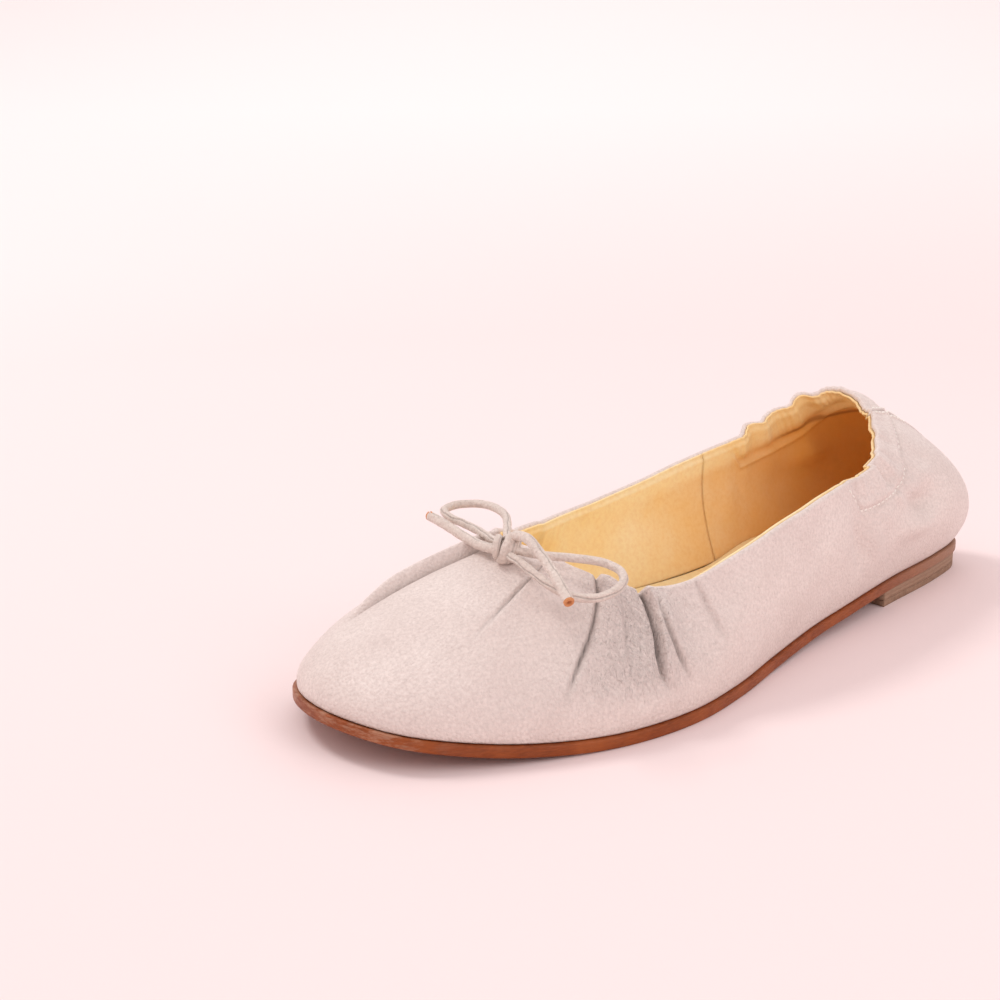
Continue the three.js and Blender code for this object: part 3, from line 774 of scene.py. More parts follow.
def nappa(name, light, deep, grain=1.0):
    """Soft chrome-tanned leather: fine pebbled grain, faint mottling, and painted shade in its creases
    and fine folds.
    """
    f = Finish(name, 0.5, specular=0.4)
    cloud = f.noise(0.016, 2.0)
    fine = f.noise(0.0009, 3.0, 0.6)
    pebble = f.cells(0.00085)
    pore = f.cells(0.0015, "DISTANCE_TO_EDGE")
    shade, crease = dimmed(deep, 0.80), dimmed(deep, 0.36)
    tone = f.fade(cloud, 0.3, 0.75, light, deep)
    tone = f.fade(fine, 0.38, 0.68, tone, shade, 0.55)
    tone = f.mix(f.between(pore, 0.0, 0.07, 0.20, 0.0), tone, shade)
    crinkle = f.noise(0.0013, 3.0, 0.6, (1, 1, 0.22))
    folds = f.maths("MULTIPLY", f.painted("zone"), f.between(crinkle, 0.36, 0.64, 1.0, 0.0))
    # Painted shade: darker along the fine folds, where zone is high.
    tone = f.mix(f.maths("MULTIPLY", folds, 0.55), tone, shade)
    # Painted shade: the crease colour along the pleats' bottoms, the back seam and the bow's grooves.
    tone = f.fade(f.painted("mark_and_shade"), 0.0, 1.0, tone, crease, 0.8)
    f.colour(tone)
    f.roughness(f.between(fine, 0.3, 0.7, 0.42, 0.58))
    f.shader.inputs["Sheen Weight"].default_value = 0.15
    f.shader.inputs["Sheen Roughness"].default_value = 0.4
    wrinkle = f.noise(0.0028, 4.0, 0.6, (1, 0.55, 1))
    f.bump((wrinkle, 0.00040, 0.40 * grain), (pebble, 0.00030, 0.70 * grain),
           (f.between(pore, 0, 0.08), 0.00007, 0.4 * grain),
           (f.maths("MULTIPLY", folds, -1), 0.0006, 0.9))
    return f.material


def lining_leather():
    f = Finish("lining_leather", 0.62, specular=0.3)
    light, deep = linear(255, 240, 196), linear(254, 222, 156)
    tone = f.fade(f.noise(0.022, 3.0), 0.32, 0.72, light, deep)
    tone = f.fade(f.noise(0.0012, 4.0), 0.4, 0.75, tone, linear(228, 172, 98), 0.25)
    # Painted shade inside the heel of the lining.
    tone = f.fade(f.painted("zone"), 0.0, 1.0, tone, linear(218, 140, 36), 0.85)
    # The casing's inner stitch line, and painted shade along the pleats.
    tone = f.fade(f.painted("mark_and_shade"), 0.0, 1.0, tone, linear(140, 78, 24), 0.8)
    f.colour(tone)
    f.roughness(f.between(f.noise(0.004, 2.0), 0.3, 0.7, 0.55, 0.7))
    f.bump((f.noise(0.003, 4.0), 0.0002, 0.3), (f.cells(0.0005), 0.00006, 0.35))
    return f.material


def sole_leather():
    f = Finish("sole_leather", 0.5, specular=0.25)
    warm, dark, worn = linear(156, 78, 34), linear(112, 52, 22), linear(190, 148, 122)
    fibre = f.noise(0.0008, 5.0, 0.65, (0.35, 0.35, 3.0))
    tone = f.fade(fibre, 0.3, 0.75, warm, dark)
    tone = f.fade(f.noise(0.012, 3.0), 0.45, 0.75, tone, linear(176, 96, 46), 0.55)
    patches = f.between(f.noise(0.0022, 6.0, 0.75, (0.4, 0.4, 1.6)), 0.46, 0.60)
    scuff = f.maths("MULTIPLY", f.painted("mark_and_shade"), patches)
    tone = f.mix(f.painted("zone"), tone, linear(160, 122, 98))
    f.colour(f.mix(scuff, tone, worn))
    f.roughness(f.between(fibre, 0.3, 0.7, 0.34, 0.55))
    f.bump((fibre, 0.00012, 0.5), (f.noise(0.0003, 3.0), 0.00003, 0.4))
    return f.material


def heel_leather():
    f = Finish("heel_leather", 0.6, specular=0.35)
    layers = f.waves(0.0012, "Z", 0.6)
    fibre = f.noise(0.0007, 5.0, 0.6, (0.3, 0.3, 2.5))
    tone = f.fade(fibre, 0.3, 0.7, linear(170, 138, 114), linear(146, 114, 92))
    f.colour(f.mix(f.between(layers, 0.0, 0.25, 0.5, 0.0), tone, linear(132, 98, 76)))
    f.bump((layers, 0.00010, 0.5), (fibre, 0.00010, 0.5))
    return f.material


def heel_rubber():
    f = Finish("heel_rubber", 0.75, specular=0.35)
    f.colour(f.fade(f.noise(0.002, 4.0), 0.35, 0.7, linear(158, 126, 104), linear(132, 102, 82)))
    f.bump((f.noise(0.0004, 3.0), 0.00008, 0.6), (f.waves(0.003, "Y"), 0.00008, 0.3))
    return f.material


def steel():
    f = Finish("steel", 0.32, metallic=1.0, rest=False)
    brushed = f.noise(0.0006, 3.0, 0.6, (1, 0.12, 1))
    f.colour(f.mix(brushed, linear(196, 198, 202), linear(150, 152, 156)))
    f.roughness(f.between(brushed, 0.3, 0.7, 0.24, 0.42))
    f.bump((brushed, 0.00003, 0.5))
    return f.material


def pressed(name, light, deep, size, stretch=(1, 1, 1), depth=0.0002):
    """A felted, pressed or foamed sheet."""
    f = Finish(name, 0.9, specular=0.2)
    speck = f.noise(size, 5.0, 0.7, stretch)
    f.colour(f.fade(speck, 0.35, 0.68, light, deep))
    f.bump((speck, depth, 0.6), (f.cells(size * 1.5), depth / 2, 0.4))
    return f.material


def woven(name, light, deep, pitch):
    """Tape or elastic: ribs along it crossed by finer threads."""
    f = Finish(name, 0.85, specular=0.2)
    ribs, threads = f.waves(pitch, "Z", 0.3), f.waves(pitch * 0.7, "DIAGONAL", 0.3)
    weave = f.maths("MULTIPLY", ribs, threads)
    f.colour(f.fade(weave, 0.1, 0.9, deep, light))
    f.bump((weave, 0.00015, 0.7))
    return f.material


def thread():
    f = Finish("thread", 0.65, specular=0.3)
    twist = f.waves(0.0003, "DIAGONAL", 0.5)
    f.colour(f.mix(twist, linear(240, 232, 222), linear(255, 252, 246)))
    f.bump((twist, 0.00004, 0.6))
    return f.material


def raw_edge():
    """The cut end of the bow's cord, where the tan of the leather shows."""
    f = Finish("raw_edge", 0.7, specular=0.25)
    fibre = f.noise(0.0003, 4.0, 0.7)
    f.colour(f.fade(fibre, 0.35, 0.7, linear(226, 160, 112), linear(190, 116, 66)))
    f.bump((fibre, 0.00008, 0.6))
    return f.material


def floor_finish():
    f = Finish("floor", 0.9, specular=0.1, rest=False)
    away = f.nodes.new("ShaderNodeVectorMath")
    away.operation = "LENGTH"
    f.links.new(f.where, away.inputs[0])
    # Painted light: the floor lightens from near the shoe out towards the sweep.
    near = f.mix(f.noise(0.6, 2.0), linear(250, 232, 231), linear(247, 229, 228))
    f.colour(f.fade(away.outputs["Value"], 0.5, 1.6, near, linear(255, 248, 247)))
    f.bump((f.noise(0.004, 3.0), 0.0002, 0.2))
    return f.material


UPPER = nappa("upper_leather", linear(238, 224, 217), linear(229, 213, 206))
BOW = nappa("bow_leather", linear(234, 220, 210), linear(220, 204, 193), grain=1.3)
LINER = lining_leather()
SOLE = sole_leather()
STACK = heel_leather()
RUBBER = heel_rubber()
STEEL = steel()
BOARD = pressed("board", linear(192, 168, 134), linear(164, 138, 104), 0.0012, (1, 1, 0.4))
CORK = pressed("cork", linear(186, 140, 96), linear(116, 76, 46), 0.0016, depth=0.0004)
FOAM = pressed("foam", linear(238, 232, 218), linear(214, 206, 190), 0.0009)
STIFF = pressed("stiffener", linear(226, 216, 196), linear(198, 186, 164), 0.0010)
ELASTIC = woven("elastic", linear(244, 238, 228), linear(212, 202, 188), 0.0011)
THREAD = thread()
RAW = raw_edge()

# ---- Camera and lights --------------------------------------------------------------------------

CAMERA_PLACE = (0.3108, -0.3430, 0.1678)  # in the stations' own frame
LOOK_AZIMUTH = 48.89
LOOK_DOWN = 15.56
SENSOR = 36
LENS = 61.2


def camera():
    data = bpy.data.cameras.new("camera")
    data.sensor_width = SENSOR
    data.lens = LENS
    data.clip_start = 0.01
    data.clip_end = 50
    obj = add("camera", data)
    obj.location = Vector(CAMERA_PLACE) + Vector(SHIFT)
    a, e = math.radians(LOOK_AZIMUTH), math.radians(LOOK_DOWN)
    forward = Vector((-math.sin(a) * math.cos(e), math.cos(a) * math.cos(e), -math.sin(e)))
    obj.rotation_euler = forward.to_track_quat("-Z", "Y").to_euler()
    bpy.context.scene.camera = obj


def softbox(name, place, target, size, watts, colour):
    data = bpy.data.lights.new(name, "AREA")
    data.shape = "DISK"
    data.size = size
    data.energy = watts
    data.color = colour
    obj = add(name, data)
    obj.location = place
    obj.rotation_euler = (Vector(target) - Vector(place)).to_track_quat("-Z", "Y").to_euler()


def studio():
    world = bpy.data.worlds.new("studio")
    world.use_nodes = True
    sky = world.node_tree.nodes["Background"]
    sky.inputs["Color"].default_value = linear(255, 246, 246)
    sky.inputs["Strength"].default_value = 0.82
    bpy.context.scene.world = world
    bpy.context.scene.view_settings.view_transform = "Standard"
    softbox("key", (-0.9, -0.4, 1.4), (0, 0, 0.02), 0.5, 8.5, (1.0, 0.99, 0.98))
    softbox("fill", (1.3, 0.2, 0.9), (0, 0, 0.03), 0.9, 4.0, (0.99, 0.98, 1.0))
    softbox("backdrop", (-1.4, 1.2, 1.0), (-1.5, 1.3, 0), 1.6, 2.6, (1.0, 0.98, 0.98))
    backdrop()


FLAT_RADIUS = 0.7  # the floor is flat out to here, and then rises like a studio sweep
SWEEP_RADIUS = 6.0
SWEEP_RISE = 0.09
FLOOR_SIDES = 96


def backdrop():
    """A round floor that rises at its rim, so that no view shows where it ends."""
    flat = np.linspace(0.3, FLAT_RADIUS, 4)
    sweep = np.linspace(FLAT_RADIUS, SWEEP_RADIUS, 30)[1:]
    radii = np.concatenate([[0.0], flat, sweep])
    theta = np.arange(FLOOR_SIDES) / FLOOR_SIDES * math.tau
    height = SWEEP_RISE * np.maximum(0, radii - FLAT_RADIUS) ** 2
    points = [(r * math.cos(t), r * math.sin(t), z) for r, z in zip(radii, height) for t in theta]
    mesh = bpy.data.meshes.new("floor")
    faces = net(len(radii), FLOOR_SIDES, False, True)[FLOOR_SIDES:]
    centre = list(range(FLOOR_SIDES, 2 * FLOOR_SIDES))
    mesh.from_pydata(points, [], faces + [centre])
    mesh.polygons.foreach_set("use_smooth", [True] * len(mesh.polygons))
    mesh.materials.append(floor_finish())
    add("floor", mesh)


# ---- The bow's cords ----------------------------------------------------------------------------

# Routes of the cords, in metres, in the stations' own frame. Both loops start and end in the knot.
LOOP_OUTER = [
    (0.007, -0.073, 0.0416),
    (0.013, -0.0695, 0.041),
    (0.019, -0.064, 0.0405),
    (0.025, -0.060, 0.040),
    (0.031, -0.0595, 0.039),
    (0.035, -0.063, 0.0375),
    (0.0355, -0.069, 0.036),
    (0.032, -0.074, 0.0356),
    (0.026, -0.0765, 0.0368),
    (0.019, -0.0765, 0.0386),
    (0.012, -0.0755, 0.040),
    (0.007, -0.0746, 0.0404),
]
LOOP_INNER = [
    (0.0, -0.0695, 0.0422),
    (-0.006, -0.064, 0.043),
    (-0.013, -0.0585, 0.0434),
    (-0.021, -0.055, 0.0432),
    (-0.028, -0.0545, 0.0428),
    (-0.033, -0.058, 0.0422),
    (-0.033, -0.063, 0.0416),
    (-0.027, -0.066, 0.0414),
    (-0.020, -0.067, 0.0414),
    (-0.012, -0.0685, 0.0414),
    (-0.006, -0.070, 0.0412),
    (-0.001, -0.0712, 0.0412),
]
TAIL_OUTER = [
    (0.0035, -0.0716, 0.0436),
    (0.007, -0.0722, 0.0452),
    (0.013, -0.0742, 0.0462),
    (0.0195, -0.0768, 0.0454),
    (0.0265, -0.0792, 0.0432),
    (0.0325, -0.0812, 0.0404),
    (0.0372, -0.0828, 0.0378),
]
TAIL_INNER = [
    (0.002, -0.0738, 0.0406),
    (-0.005, -0.0738, 0.0402),
    (-0.013, -0.0726, 0.0404),
    (-0.020, -0.0714, 0.0410),
    (-0.026, -0.0704, 0.0414),
    (-0.031, -0.0696, 0.0416),
]
KNOT = (0.0040, -0.0732, 0.0412)
CORD_STEP = 0.5  # millimetres along a cord
CORD_SIDES = 40
CORD_MERGE = 1e-8  # metres
HOLE_DEPTH = 2.2
# Rings of a cord's cut end: (share of its radius, how far past its last ring), in millimetres.
CUT_END = [(0.94, 0.18), (0.58, 0.18), (0.50, -HOLE_DEPTH)]


def through(points, step):
    """A smooth line through points, in millimetres, with even steps."""
    p = np.asarray(points) / MM
    ends = np.concatenate([[2 * p[0] - p[1]], p, [2 * p[-1] - p[-2]]])
    line = []
    for a, b, c, d in zip(ends, ends[1:], ends[2:], ends[3:]):
        f = np.linspace(0, 1, 16, endpoint=False)[:, None]
        line.append(b + 0.5 * f * (c - a + f * (2 * a - 5 * b + 4 * c - d + f * (3 * (b - c) + d - a))))
    line = np.concatenate(line + [p[-1:]])
    length = np.concatenate([[0], np.cumsum(np.linalg.norm(np.diff(line, axis=0), axis=1))])
    t = np.linspace(0, length[-1], max(4, int(length[-1] / step)))
    return np.stack([np.interp(t, length, line[:, k]) for k in range(3)], -1), length[-1]


def frames(line, up=(0, 0, 1)):
    """Tangent, side and upward direction along a line, turned as little as possible."""
    tangent = unit(np.gradient(line, axis=0))
    normal = np.array(up, float)
    sides, ups = [], []
    for t in tangent:
        normal = normal - t * (normal @ t)
        normal = normal / np.linalg.norm(normal)
        ups.append(normal)
        sides.append(np.cross(t, normal))
    return tangent, np.array(sides), np.array(ups)


def rolled_cord(name, route, diameter, groove_at, open_end=False):
    """A strip of leather rolled into a cord: round, with the line where its edge lies."""
    line, length = through(route, CORD_STEP)
    tangent, side, up = frames(line)
    count = len(line)
    theta = np.arange(CORD_SIDES) / CORD_SIDES * math.tau
    t = np.linspace(0, length, count)
    wander = groove_at + 0.25 * np.sin(t * 0.22) + 0.12 * np.sin(t * 0.9)
    off = (theta[None] - wander[:, None] + math.pi) % math.tau - math.pi
    radius = diameter / 2 * (1 + 0.035 * np.sin(t * 1.3)[:, None] * np.cos(theta)[None])
    radius = radius - 0.30 * np.exp(-((off / 0.13) ** 2)) + 0.10 * np.exp(-(((off - 0.35) / 0.2) ** 2))
    pinch = 1 - 0.16 * np.exp(-((t / 1.8) ** 2))[:, None]
    radius = radius * pinch
    ring = line[:, None] + radius[..., None] * (
        np.cos(theta)[None, :, None] * side[:, None] + np.sin(theta)[None, :, None] * up[:, None]
    )
    sides = CORD_SIDES
    points = [ring.reshape(-1, 3)]
    faces = net(count, sides, False, True)
    # Painted shade along the groove where the strip's edge lies.
    dark = [np.exp(-((off / 0.10) ** 2)).ravel() * 0.8]
    last = (count - 1) * sides
    for share, ahead in CUT_END if open_end else []:
        points.append(line[-1] + (ring[-1] - line[-1]) * share + tangent[-1] * ahead)
        dark.append(np.zeros(sides))
        base = last + sides
        for k in range(sides):
            after = (k + 1) % sides
            faces.append([base + k, base + after, last + after, last + k])
        last = base
    faces.append(list(range(last, last + sides))[::-1])
    faces.append(list(range(sides)))
    made = piece(name, np.concatenate(points), faces, BOW, np.concatenate(dark), merge=CORD_MERGE)
    if open_end:
        made.data.materials.append(RAW)
        paint_end(made, line[-1], diameter)
    return made, placed(line), length * MM


def paint_end(obj, tip, diameter):
    """Gives the cut face at a cord's end, and a hair of its side, the raw leather."""
    where = Vector(placed([tip])[0])
    reach = diameter * 0.56 * MM
    for polygon in obj.data.polygons:
        if (polygon.center - where).length < reach:
            polygon.material_index = 1


def bow():
    rows = [
        ("bow_loop_outer", "bow_loop_outer_side", LOOP_OUTER, CORD, 2.4, False),
        ("bow_loop_inner", "bow_loop_inner_side", LOOP_INNER, CORD, 1.2, False),
        ("bow_tail_outer", "bow_tail_outer_side", TAIL_OUTER, TAIL, 1.9, True),
        ("bow_tail_inner", "bow_tail_inner_side", TAIL_INNER, TAIL, 1.5, True),
    ]
    for name, node, route, diameter, groove_at, open_end in rows:
        made, line, length = rolled_cord(name, route, diameter, groove_at, open_end)
        fit(made, FOREFOOT, "bow_leather", node)


# Turns of the knot round the strands: shift along them, radius across and up, half width of the
# strip, half its thickness, and how far it slants, in millimetres.
KNOT_TURNS = [
    (0.2, 2.7, 3.3, 1.8, 0.75, 0.6),
    (-2.1, 2.2, 2.5, 0.95, 0.8, -0.5),
    (2.2, 2.2, 2.5, 0.8, 0.75, 0.5),
]
KNOT_AXIS = (0.70, 0.62, -0.22)  # along the strands
CORE_LONG, CORE_WIDE, CORE_TALL = 2.8, 2.2, 2.5
CORE_SIDES, CORE_ROWS = 20, 15
TURN_STEPS, TURN_SIDES = 72, 24
EDGE_LINE = 0.45  # cosine of the place of the strip's folded edge, round its section


def bow_knot():
    """The knot: a turn of the cord drawn tight and flat over the strands that run through it."""
    centre = np.array(KNOT) / MM
    lean = unit(np.array(KNOT_AXIS))
    across = unit(np.cross(lean, np.array([0, 0, 1.0])))
    up = np.cross(across, lean)
    points, faces, dark, base = [], [], [], 0
    for shift, wide, tall, half, thick, tilt in KNOT_TURNS:
        t = np.arange(TURN_STEPS) / TURN_STEPS * math.tau
        middle = (
            centre
            + lean * (shift + tilt * np.sin(t + 0.6))[:, None]
            + across * (wide * np.cos(t))[:, None]
            + up * (tall * np.sin(t))[:, None]
        )
        tangent = unit(np.roll(middle, -1, 0) - np.roll(middle, 1, 0))
        outward = unit(middle - centre - lean * ((middle - centre) @ lean)[:, None])
        side = unit(np.cross(tangent, outward))
        theta = np.arange(TURN_SIDES) / TURN_SIDES * math.tau
        round_it = np.cos(theta)
        swell = 1 + 0.07 * np.sin(t * 2 + 1) + 0.04 * np.sin(t * 5)
        crease = thick * (1 - 0.30 * np.exp(-(((round_it - EDGE_LINE) / 0.13) ** 2)))
        ring = middle[:, None] + (
            half * np.sign(round_it) * np.abs(round_it) ** 0.8 * swell[:, None]
        )[..., None] * side[:, None] + (crease * np.sin(theta))[None, :, None] * outward[:, None]
        points.append(ring.reshape(-1, 3))
        faces += net(TURN_STEPS, TURN_SIDES, True, True, base=base)
        # Painted shade along the strip's folded edge and at its two sides.
        line = 0.6 * np.exp(-(((round_it - EDGE_LINE) / 0.10) ** 2)) + 0.35 * np.abs(round_it) ** 8
        dark.append(np.tile(line, TURN_STEPS))
        base += TURN_STEPS * TURN_SIDES
    core = np.arange(CORE_SIDES) / CORE_SIDES * math.tau
    for r in np.linspace(-1, 1, CORE_ROWS):
        swell = math.sqrt(max(1 - r * r, 0.02))
        ring = centre + lean * r * CORE_LONG + across * (CORE_WIDE * swell * np.cos(core))[:, None]
        points.append(ring + up * (CORE_TALL * swell * np.sin(core))[:, None])
        # Painted shade on the core, under the turns.
        dark.append(np.full(CORE_SIDES, 0.5))
    last = base + (CORE_ROWS - 1) * CORE_SIDES
    faces += net(CORE_ROWS, CORE_SIDES, False, True, base=base)
    faces.append(list(range(base, base + CORE_SIDES))[::-1])
    faces.append(list(range(last, last + CORE_SIDES)))
    points, dark = np.concatenate(points), np.concatenate(dark)
    made = piece("bow_knot_wrapped", points, faces, BOW, dark, merge=CORD_MERGE)
    fit(made, FOREFOOT, "bow_leather", "bow_knot")


# ---- The upper and what is in its wall ------------------------------------------------------------

RIM = 1.9  # thickness of the folded topline
TURN = 500  # millimetres in one turn round the wall, for the creases' widths
UPPER_COLUMNS = 900
UPPER_ROWS = 104
SEAM_STATION = 93  # the lining's side seams
UPPER_TOP = 0.982  # v at which the fold over the topline starts
FOLD_STEPS = 10
MARGIN_STEPS = (0.5, 1.9, 4, 7, LASTING_MARGIN)  # in from the sole's outline


def upper():
    """The leather: its outside, folded over the topline, and turned in under the insole board."""
    u = spread(UPPER_COLUMNS + 1)[:-1]
    share = np.linspace(0, 1, UPPER_ROWS)
    vs = share * UPPER_TOP

    def thick(v):
        return LEATHER + (RIM - LEATHER) * smooth(0.90, 0.975, v)

    outside = skin(u[:, None], vs[None], 0.0)[0]
    inside = skin(u[:, None], vs[None], thick(vs)[None])[0]
    fold = rim(*skin(u, UPPER_TOP, RIM / 2), RIM / 2, FOLD_STEPS)
    normal = sole_edge(u, 0)[1]
    foot = outside[:, 0]
    lower, higher = [], []
    for width in MARGIN_STEPS:
        xy = foot[:, :2] - normal * width
        base = underside(SOLE_LENGTH / 2 - xy[:, 1])
        ripple = 0.12 * np.sin(u * 420) * smooth(2, 6, width)
        lower.append(np.column_stack([xy, base + FLOOR["margin"][0]]))
        higher.append(np.column_stack([xy, base + FLOOR["margin"][1] + ripple]))
    loop = [p[:, None] for p in lower[::-1]] + [outside] + [p[:, None] for p in fold]
    loop += [inside[:, ::-1]] + [p[:, None] for p in higher[1:]]
    loop = np.concatenate(loop, 1)
    shading_and_marks, zones = np.zeros(loop.shape[:2]), np.zeros(loop.shape[:2])
    seen = slice(len(lower), len(lower) + UPPER_ROWS)
    # Painted shade along the pleats and the back seam, and where the fine folds darken.
    shading_and_marks[:, seen] = crease_shade(u[:, None], vs[None])
    zones[:, seen] = crinkled(u[:, None], vs[None])
    faces = net(len(u), loop.shape[1], True, True)
    made = piece("upper_leather_shell", loop, faces, UPPER, shading_and_marks, zone=zones)
    fit(made, BOTH, "upper_leather", "upper_forepart", "upper_rear_outer_side", "upper_rear_inner_side")


def crease_shade(u, v):
    """Painted shade, 0 to 1, along the bottoms of the pleats and down the centre-back seam, where the
    leather is darkest.
    """
    u, v = np.broadcast_arrays(u, v)
    dark = np.zeros(u.shape)
    for path, groove, width, _, _, _, low, high, soft in PLEATS:
        x = turn(u, at_height(path, v)) * TURN
        line = np.exp(-((x / (0.8 * width)) ** 2)) * span(v, low, high, soft)
        dark = np.maximum(dark, line * min(1.0, groove / 1.6))
    x = turn(u, at_height(BACK_SEAM, v)) * TURN
    return np.maximum(dark, 0.8 * np.exp(-((x / 0.9) ** 2)))


def rim_depth(depth, near):
    """Depth of the lining: it closes up to the leather at the topline."""
    return lambda v: depth - (depth - near) * smooth(0.955, 0.985, v)


LINING_SPAN = (0.07, 0.996)
LINING_ROWS = 70
SLIT = 0.0003  # half the gap at each seam of the lining, in turns
INNER_STITCHES = 0.80  # v of the casing's stitches on the lining


def lining():
    """The vamp lining and the two quarter linings, with a seam between them on each side."""
    outer = rim_depth(LEATHER + STIFFENER + 2 * GAP, RIM + 0.05)
    inner = rim_depth(LEATHER + STIFFENER + 2 * GAP + LINING, RIM + 0.05 + 0.8)
    seam_outer, seam_inner = side_u(SEAM_STATION, 0.1, 0.3), side_u(SEAM_STATION, 0.7, 0.9)
    rows = [
        ("lining_vamp", "vamp_lining", seam_outer, seam_inner, 560, BOTH),
        ("lining_quarter_outer", "quarter_lining_outer_side", 0, seam_outer, 210, REARFOOT),
        ("lining_quarter_inner", "quarter_lining_inner_side", seam_inner, 1, 210, REARFOOT),
    ]
    for name, node, start, stop, columns, body in rows:
        u_span = (start + SLIT, stop - SLIT)
        made = wall_piece(name, LINER, u_span, LINING_SPAN, outer, inner, columns, LINING_ROWS,
                          lining_marks_and_shade, lining_heel_shade)
        fit(made, body, "lining_leather", node)


def lining_marks_and_shade(u, v):
    """Where the casing's inner stitches darken the lining, and painted shade along the pleats."""
    around = 1 - smooth(0.085, 0.115, np.abs(turn(u, -0.01)))
    line = np.exp(-(((v - INNER_STITCHES) / 0.012) ** 2)) * around
    return np.maximum(line, crease_shade(u, v) * 0.5)


def lining_heel_shade(u, v):
    """Painted shade inside the heel of the lining, below the band of the casing."""
    back = 1 - smooth(0.06, 0.26, np.abs(turn(u, -0.01)))
    return back * (1 - 0.75 * smooth(0.78, 0.90, v))


def side_u(station, low, high):
    """u between two values at which the topline passes a station."""
    values = np.linspace(low, high, 400)
    stations = on_loop([TOP_S], values)[0][:, 0]
    return float(values[np.argmin(np.abs(stations - station))])


# Layers between the leather and the lining: name, node, slot, spans of u and v, body.
STIFFENED = [
    ("toe_puff_moulded", "toe_puff", "stiffener", (0.36, 0.64), (0.10, 0.42), FOREFOOT),
    ("heel_counter_moulded", "heel_counter", "stiffener", (-0.13, 0.13), (0.10, 0.46), REARFOOT),
    ("heel_elastic_gathered", "heel_elastic", "elastic", (-0.1, 0.1), (0.80, 0.89), REARFOOT),
]
TAPE_INSET = 0.15


def inner_layers():
    """Stiffeners, elastic and tape, each in the gap between the leather and the lining."""
    start = LEATHER + GAP
    outer, inner = constant(start), constant(start + STIFFENER)
    for name, node, slot, u_span, v_span, body in STIFFENED:
        material = STIFF if slot == "stiffener" else ELASTIC
        fit(wall_piece(name, material, u_span, v_span, outer, inner, 160, 24), body, slot, node)
    outer, inner = constant(start + TAPE_INSET), constant(start + TAPE_INSET + TAPE)
    made = wall_piece("topline_tape", ELASTIC, (0.108, 0.892), (0.90, 0.935), outer, inner, 500, 8)
    nodes = ["topline_tape_throat", "topline_tape_outer_side", "topline_tape_inner_side"]
    fit(made, BOTH, "elastic", *nodes)


# ---- The bottom unit -----------------------------------------------------------------------------


BOARD_DEPTH, SOCK_DEPTH, CUSHION_DEPTH = 4.1, 3.8, 7.1  # in from the leather's outside
FILLER_SPAN = (164, 236)
CUSHION_SPAN = (12, 74)
CUSHION_CLEAR, CUSHION_RAMP = 2, 24  # where the sock lining comes down in front of the cushion


def sock_height(station):
    front = CUSHION_SPAN[1] + CUSHION_CLEAR
    raised = 1 - smooth(front, front + CUSHION_RAMP, station)
    return above_sole(FLOOR["sock"][0])(station) + (CUSHION + GAP) * raised


def bottom():
    """The outsole, the boards and the cushion, each as one slab."""
    made = slab("outsole_leather", SOLE, halves(0), above_sole(0), above_sole(OUTSOLE), 0.45)
    paint_sole(made)
    fit(made, BOTH, "sole_leather", "outsole_forepart", "outsole_rearpart")

    under, over = (above_sole(height) for height in FLOOR["board"])
    made = slab("insole_board", BOARD, inside_wall(under, BOARD_DEPTH), under, over, 0.2)
    fit(made, BOTH, "board", "insole_board_forepart", "insole_board_rearpart")

    made = slab("sock_lining", LINER, inside_wall(sock_height, SOCK_DEPTH), sock_height,
                lambda s: sock_height(s) + SOCK, 0.4, across=36)
    fit(made, BOTH, "lining_leather", "sock_lining_forepart", "sock_lining_rearpart")

    under, over = (above_sole(height) for height in FLOOR["margin"])
    sides = halves(WELT + LASTING_MARGIN + 1, *FILLER_SPAN)
    made = slab("bottom_filler_sheet", CORK, sides, under, over, 0.2, cut_back=True)
    fit(made, BOTH, "cork", "bottom_filler")

    rest_on = FLOOR["board"][1] + GAP
    under, over = above_sole(rest_on), above_sole(rest_on + CUSHION)
    sides = inside_wall(under, CUSHION_DEPTH, *CUSHION_SPAN)
    made = slab("heel_cushion_pad", FOAM, sides, under, over, 0.7, cut_back=True)
    fit(made, REARFOOT, "foam", "heel_cushion")


def paint_sole(obj):
    """Marks where the sole's edge is scuffed, at the toe, and where it turns brown, at the heel."""
    shading_and_marks = obj.data.attributes["mark_and_shade"].data
    zones = obj.data.attributes["zone"].data
    for vertex, mark_and_shade, zone in zip(obj.data.vertices, shading_and_marks, zones):
        station = SOLE_LENGTH / 2 - (vertex.co.y - SHIFT[1]) / MM
        mark_and_shade.value = 0.55 * math.exp(-(((station - SOLE_LENGTH) / 9) ** 2)) + 0.03
        zone.value = 0.75 * (1 - float(smooth(20, 85, station)))


TOUCH = 0.04  # what is left between the heel's layers


def heel():
    sides = halves(HEEL_INSET, 0, BREAST)
    made = slab("heel_lift_stack", STACK, sides, lambda s: TOP_PIECE + TOUCH + 0 * s,
                lambda s: underside(s) - TOUCH, 0.2)
    fit(made, REARFOOT, "heel_leather", "heel_lift")
    made = slab("heel_top_piece_rubber", RUBBER, sides, lambda s: 0 * s,
                lambda s: TOP_PIECE + 0 * s, 0.3)
    fit(made, REARFOOT, "heel_rubber", "heel_top_piece")


# ---- Stitches ------------------------------------------------------------------------------------

THREAD_RADIUS = 0.30
THREAD_SIDES, THREAD_RINGS = 8, 7
THREAD_RISE = 0.12
CASING_PITCH, CASING_STITCH = 2.3, 1.7
SEAM_PITCH, SEAM_STITCH = 1.9, 1.35
SEAM_ASIDE = 0.005  # turns from the seam to its stitches


def sampled(values, at):
    return np.stack([np.interp(at, np.arange(len(values)), values[:, k]) for k in range(3)], -1)


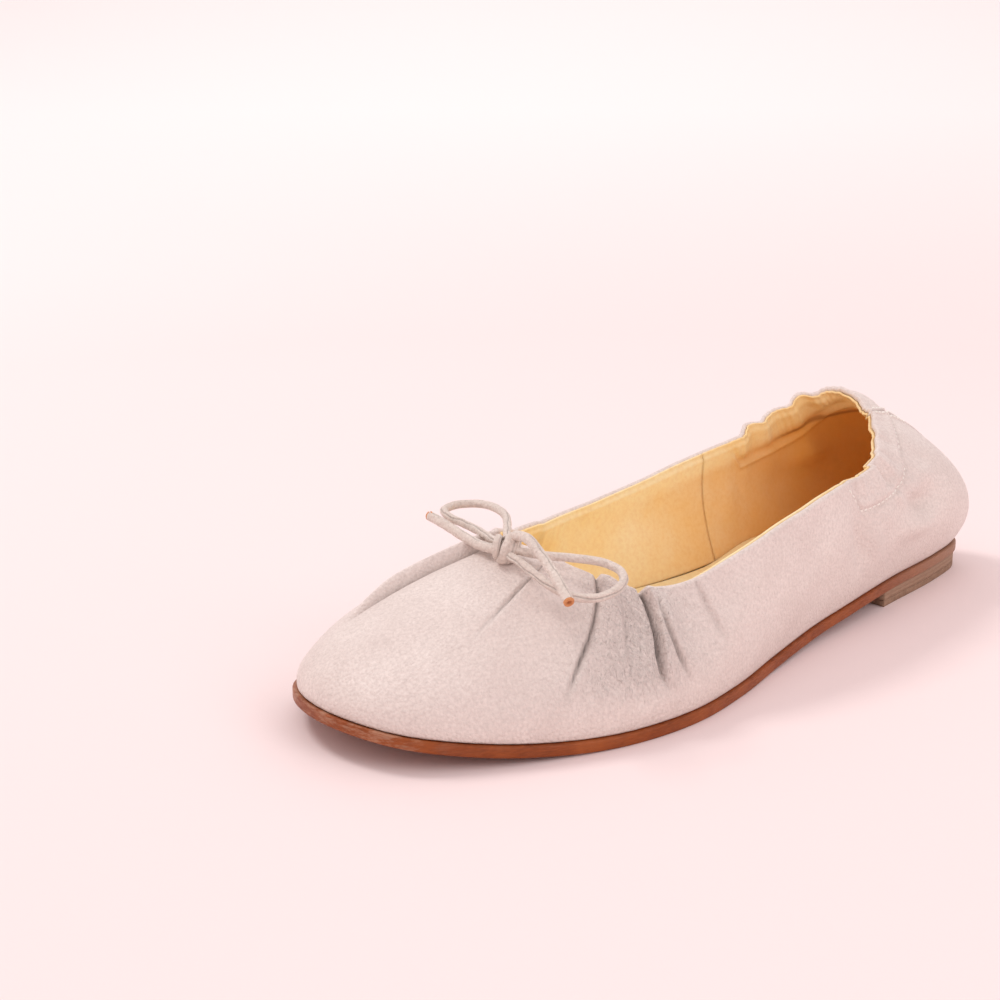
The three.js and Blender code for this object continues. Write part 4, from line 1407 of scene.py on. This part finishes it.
def stitches(name, u, v, pitch, length):
    """A row of stitches on the wall along a path of u and v."""
    line, inward, _ = skin(u, v, 0.0)
    size = np.concatenate([[0], np.cumsum(np.linalg.norm(np.diff(line, axis=0), axis=1))])
    points, faces, base = [], [], 0
    theta = np.arange(THREAD_SIDES) / THREAD_SIDES * math.tau
    bow_out = np.sin(np.linspace(0, math.pi, THREAD_RINGS))
    radius = THREAD_RADIUS * (0.35 + 0.65 * bow_out**0.5)
    for number, start in enumerate(np.arange(0.4, size[-1] - length, pitch)):
        at = np.interp(start + np.linspace(0, length, THREAD_RINGS), size, np.arange(len(line)))
        where, inw = sampled(line, at), unit(sampled(inward, at))
        side = np.cross(unit(np.gradient(where, axis=0)), inw)
        skew = 0.10 * (1 if number % 2 else -1) * np.linspace(-1, 1, THREAD_RINGS)
        where = where - inw * (THREAD_RISE * bow_out - 0.10)[:, None] + side * skew[:, None]
        ring = where[:, None] + radius[:, None, None] * (
            np.cos(theta)[None, :, None] * side[:, None] - np.sin(theta)[None, :, None] * inw[:, None]
        )
        points.append(ring.reshape(-1, 3))
        last = base + (THREAD_RINGS - 1) * THREAD_SIDES
        faces += net(THREAD_RINGS, THREAD_SIDES, False, True, base=base)
        faces.append(list(range(base, base + THREAD_SIDES))[::-1])
        faces.append(list(range(last, last + THREAD_SIDES)))
        base = last + THREAD_SIDES
    fit(piece(name, np.concatenate(points), faces, THREAD), REARFOOT, "elastic")


def sewing():
    away, level = (np.array(side) for side in zip(*CASING))
    t = np.linspace(0, len(CASING) - 1, 900)
    u = np.interp(t, np.arange(len(CASING)), away)
    v = np.interp(t, np.arange(len(CASING)), level)
    for name, side in (("casing_stitches_outer", 1), ("casing_stitches_inner", -1)):
        stitches(name, side * u, v, CASING_PITCH, CASING_STITCH)
    v = np.linspace(0.985, 0.74, 160)
    for name, side in (("seam_stitches_outer", 1), ("seam_stitches_inner", -1)):
        stitches(name, at_height(BACK_SEAM, v) + side * SEAM_ASIDE, v, SEAM_PITCH, SEAM_STITCH)


studio()
camera()
bow()
bow_knot()
upper()
lining()
inner_layers()
bottom()
heel()
sewing()

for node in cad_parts.values():
    if node.hide_render:
        continue
    node.data.materials.clear()
    node.data.materials.append(STEEL)

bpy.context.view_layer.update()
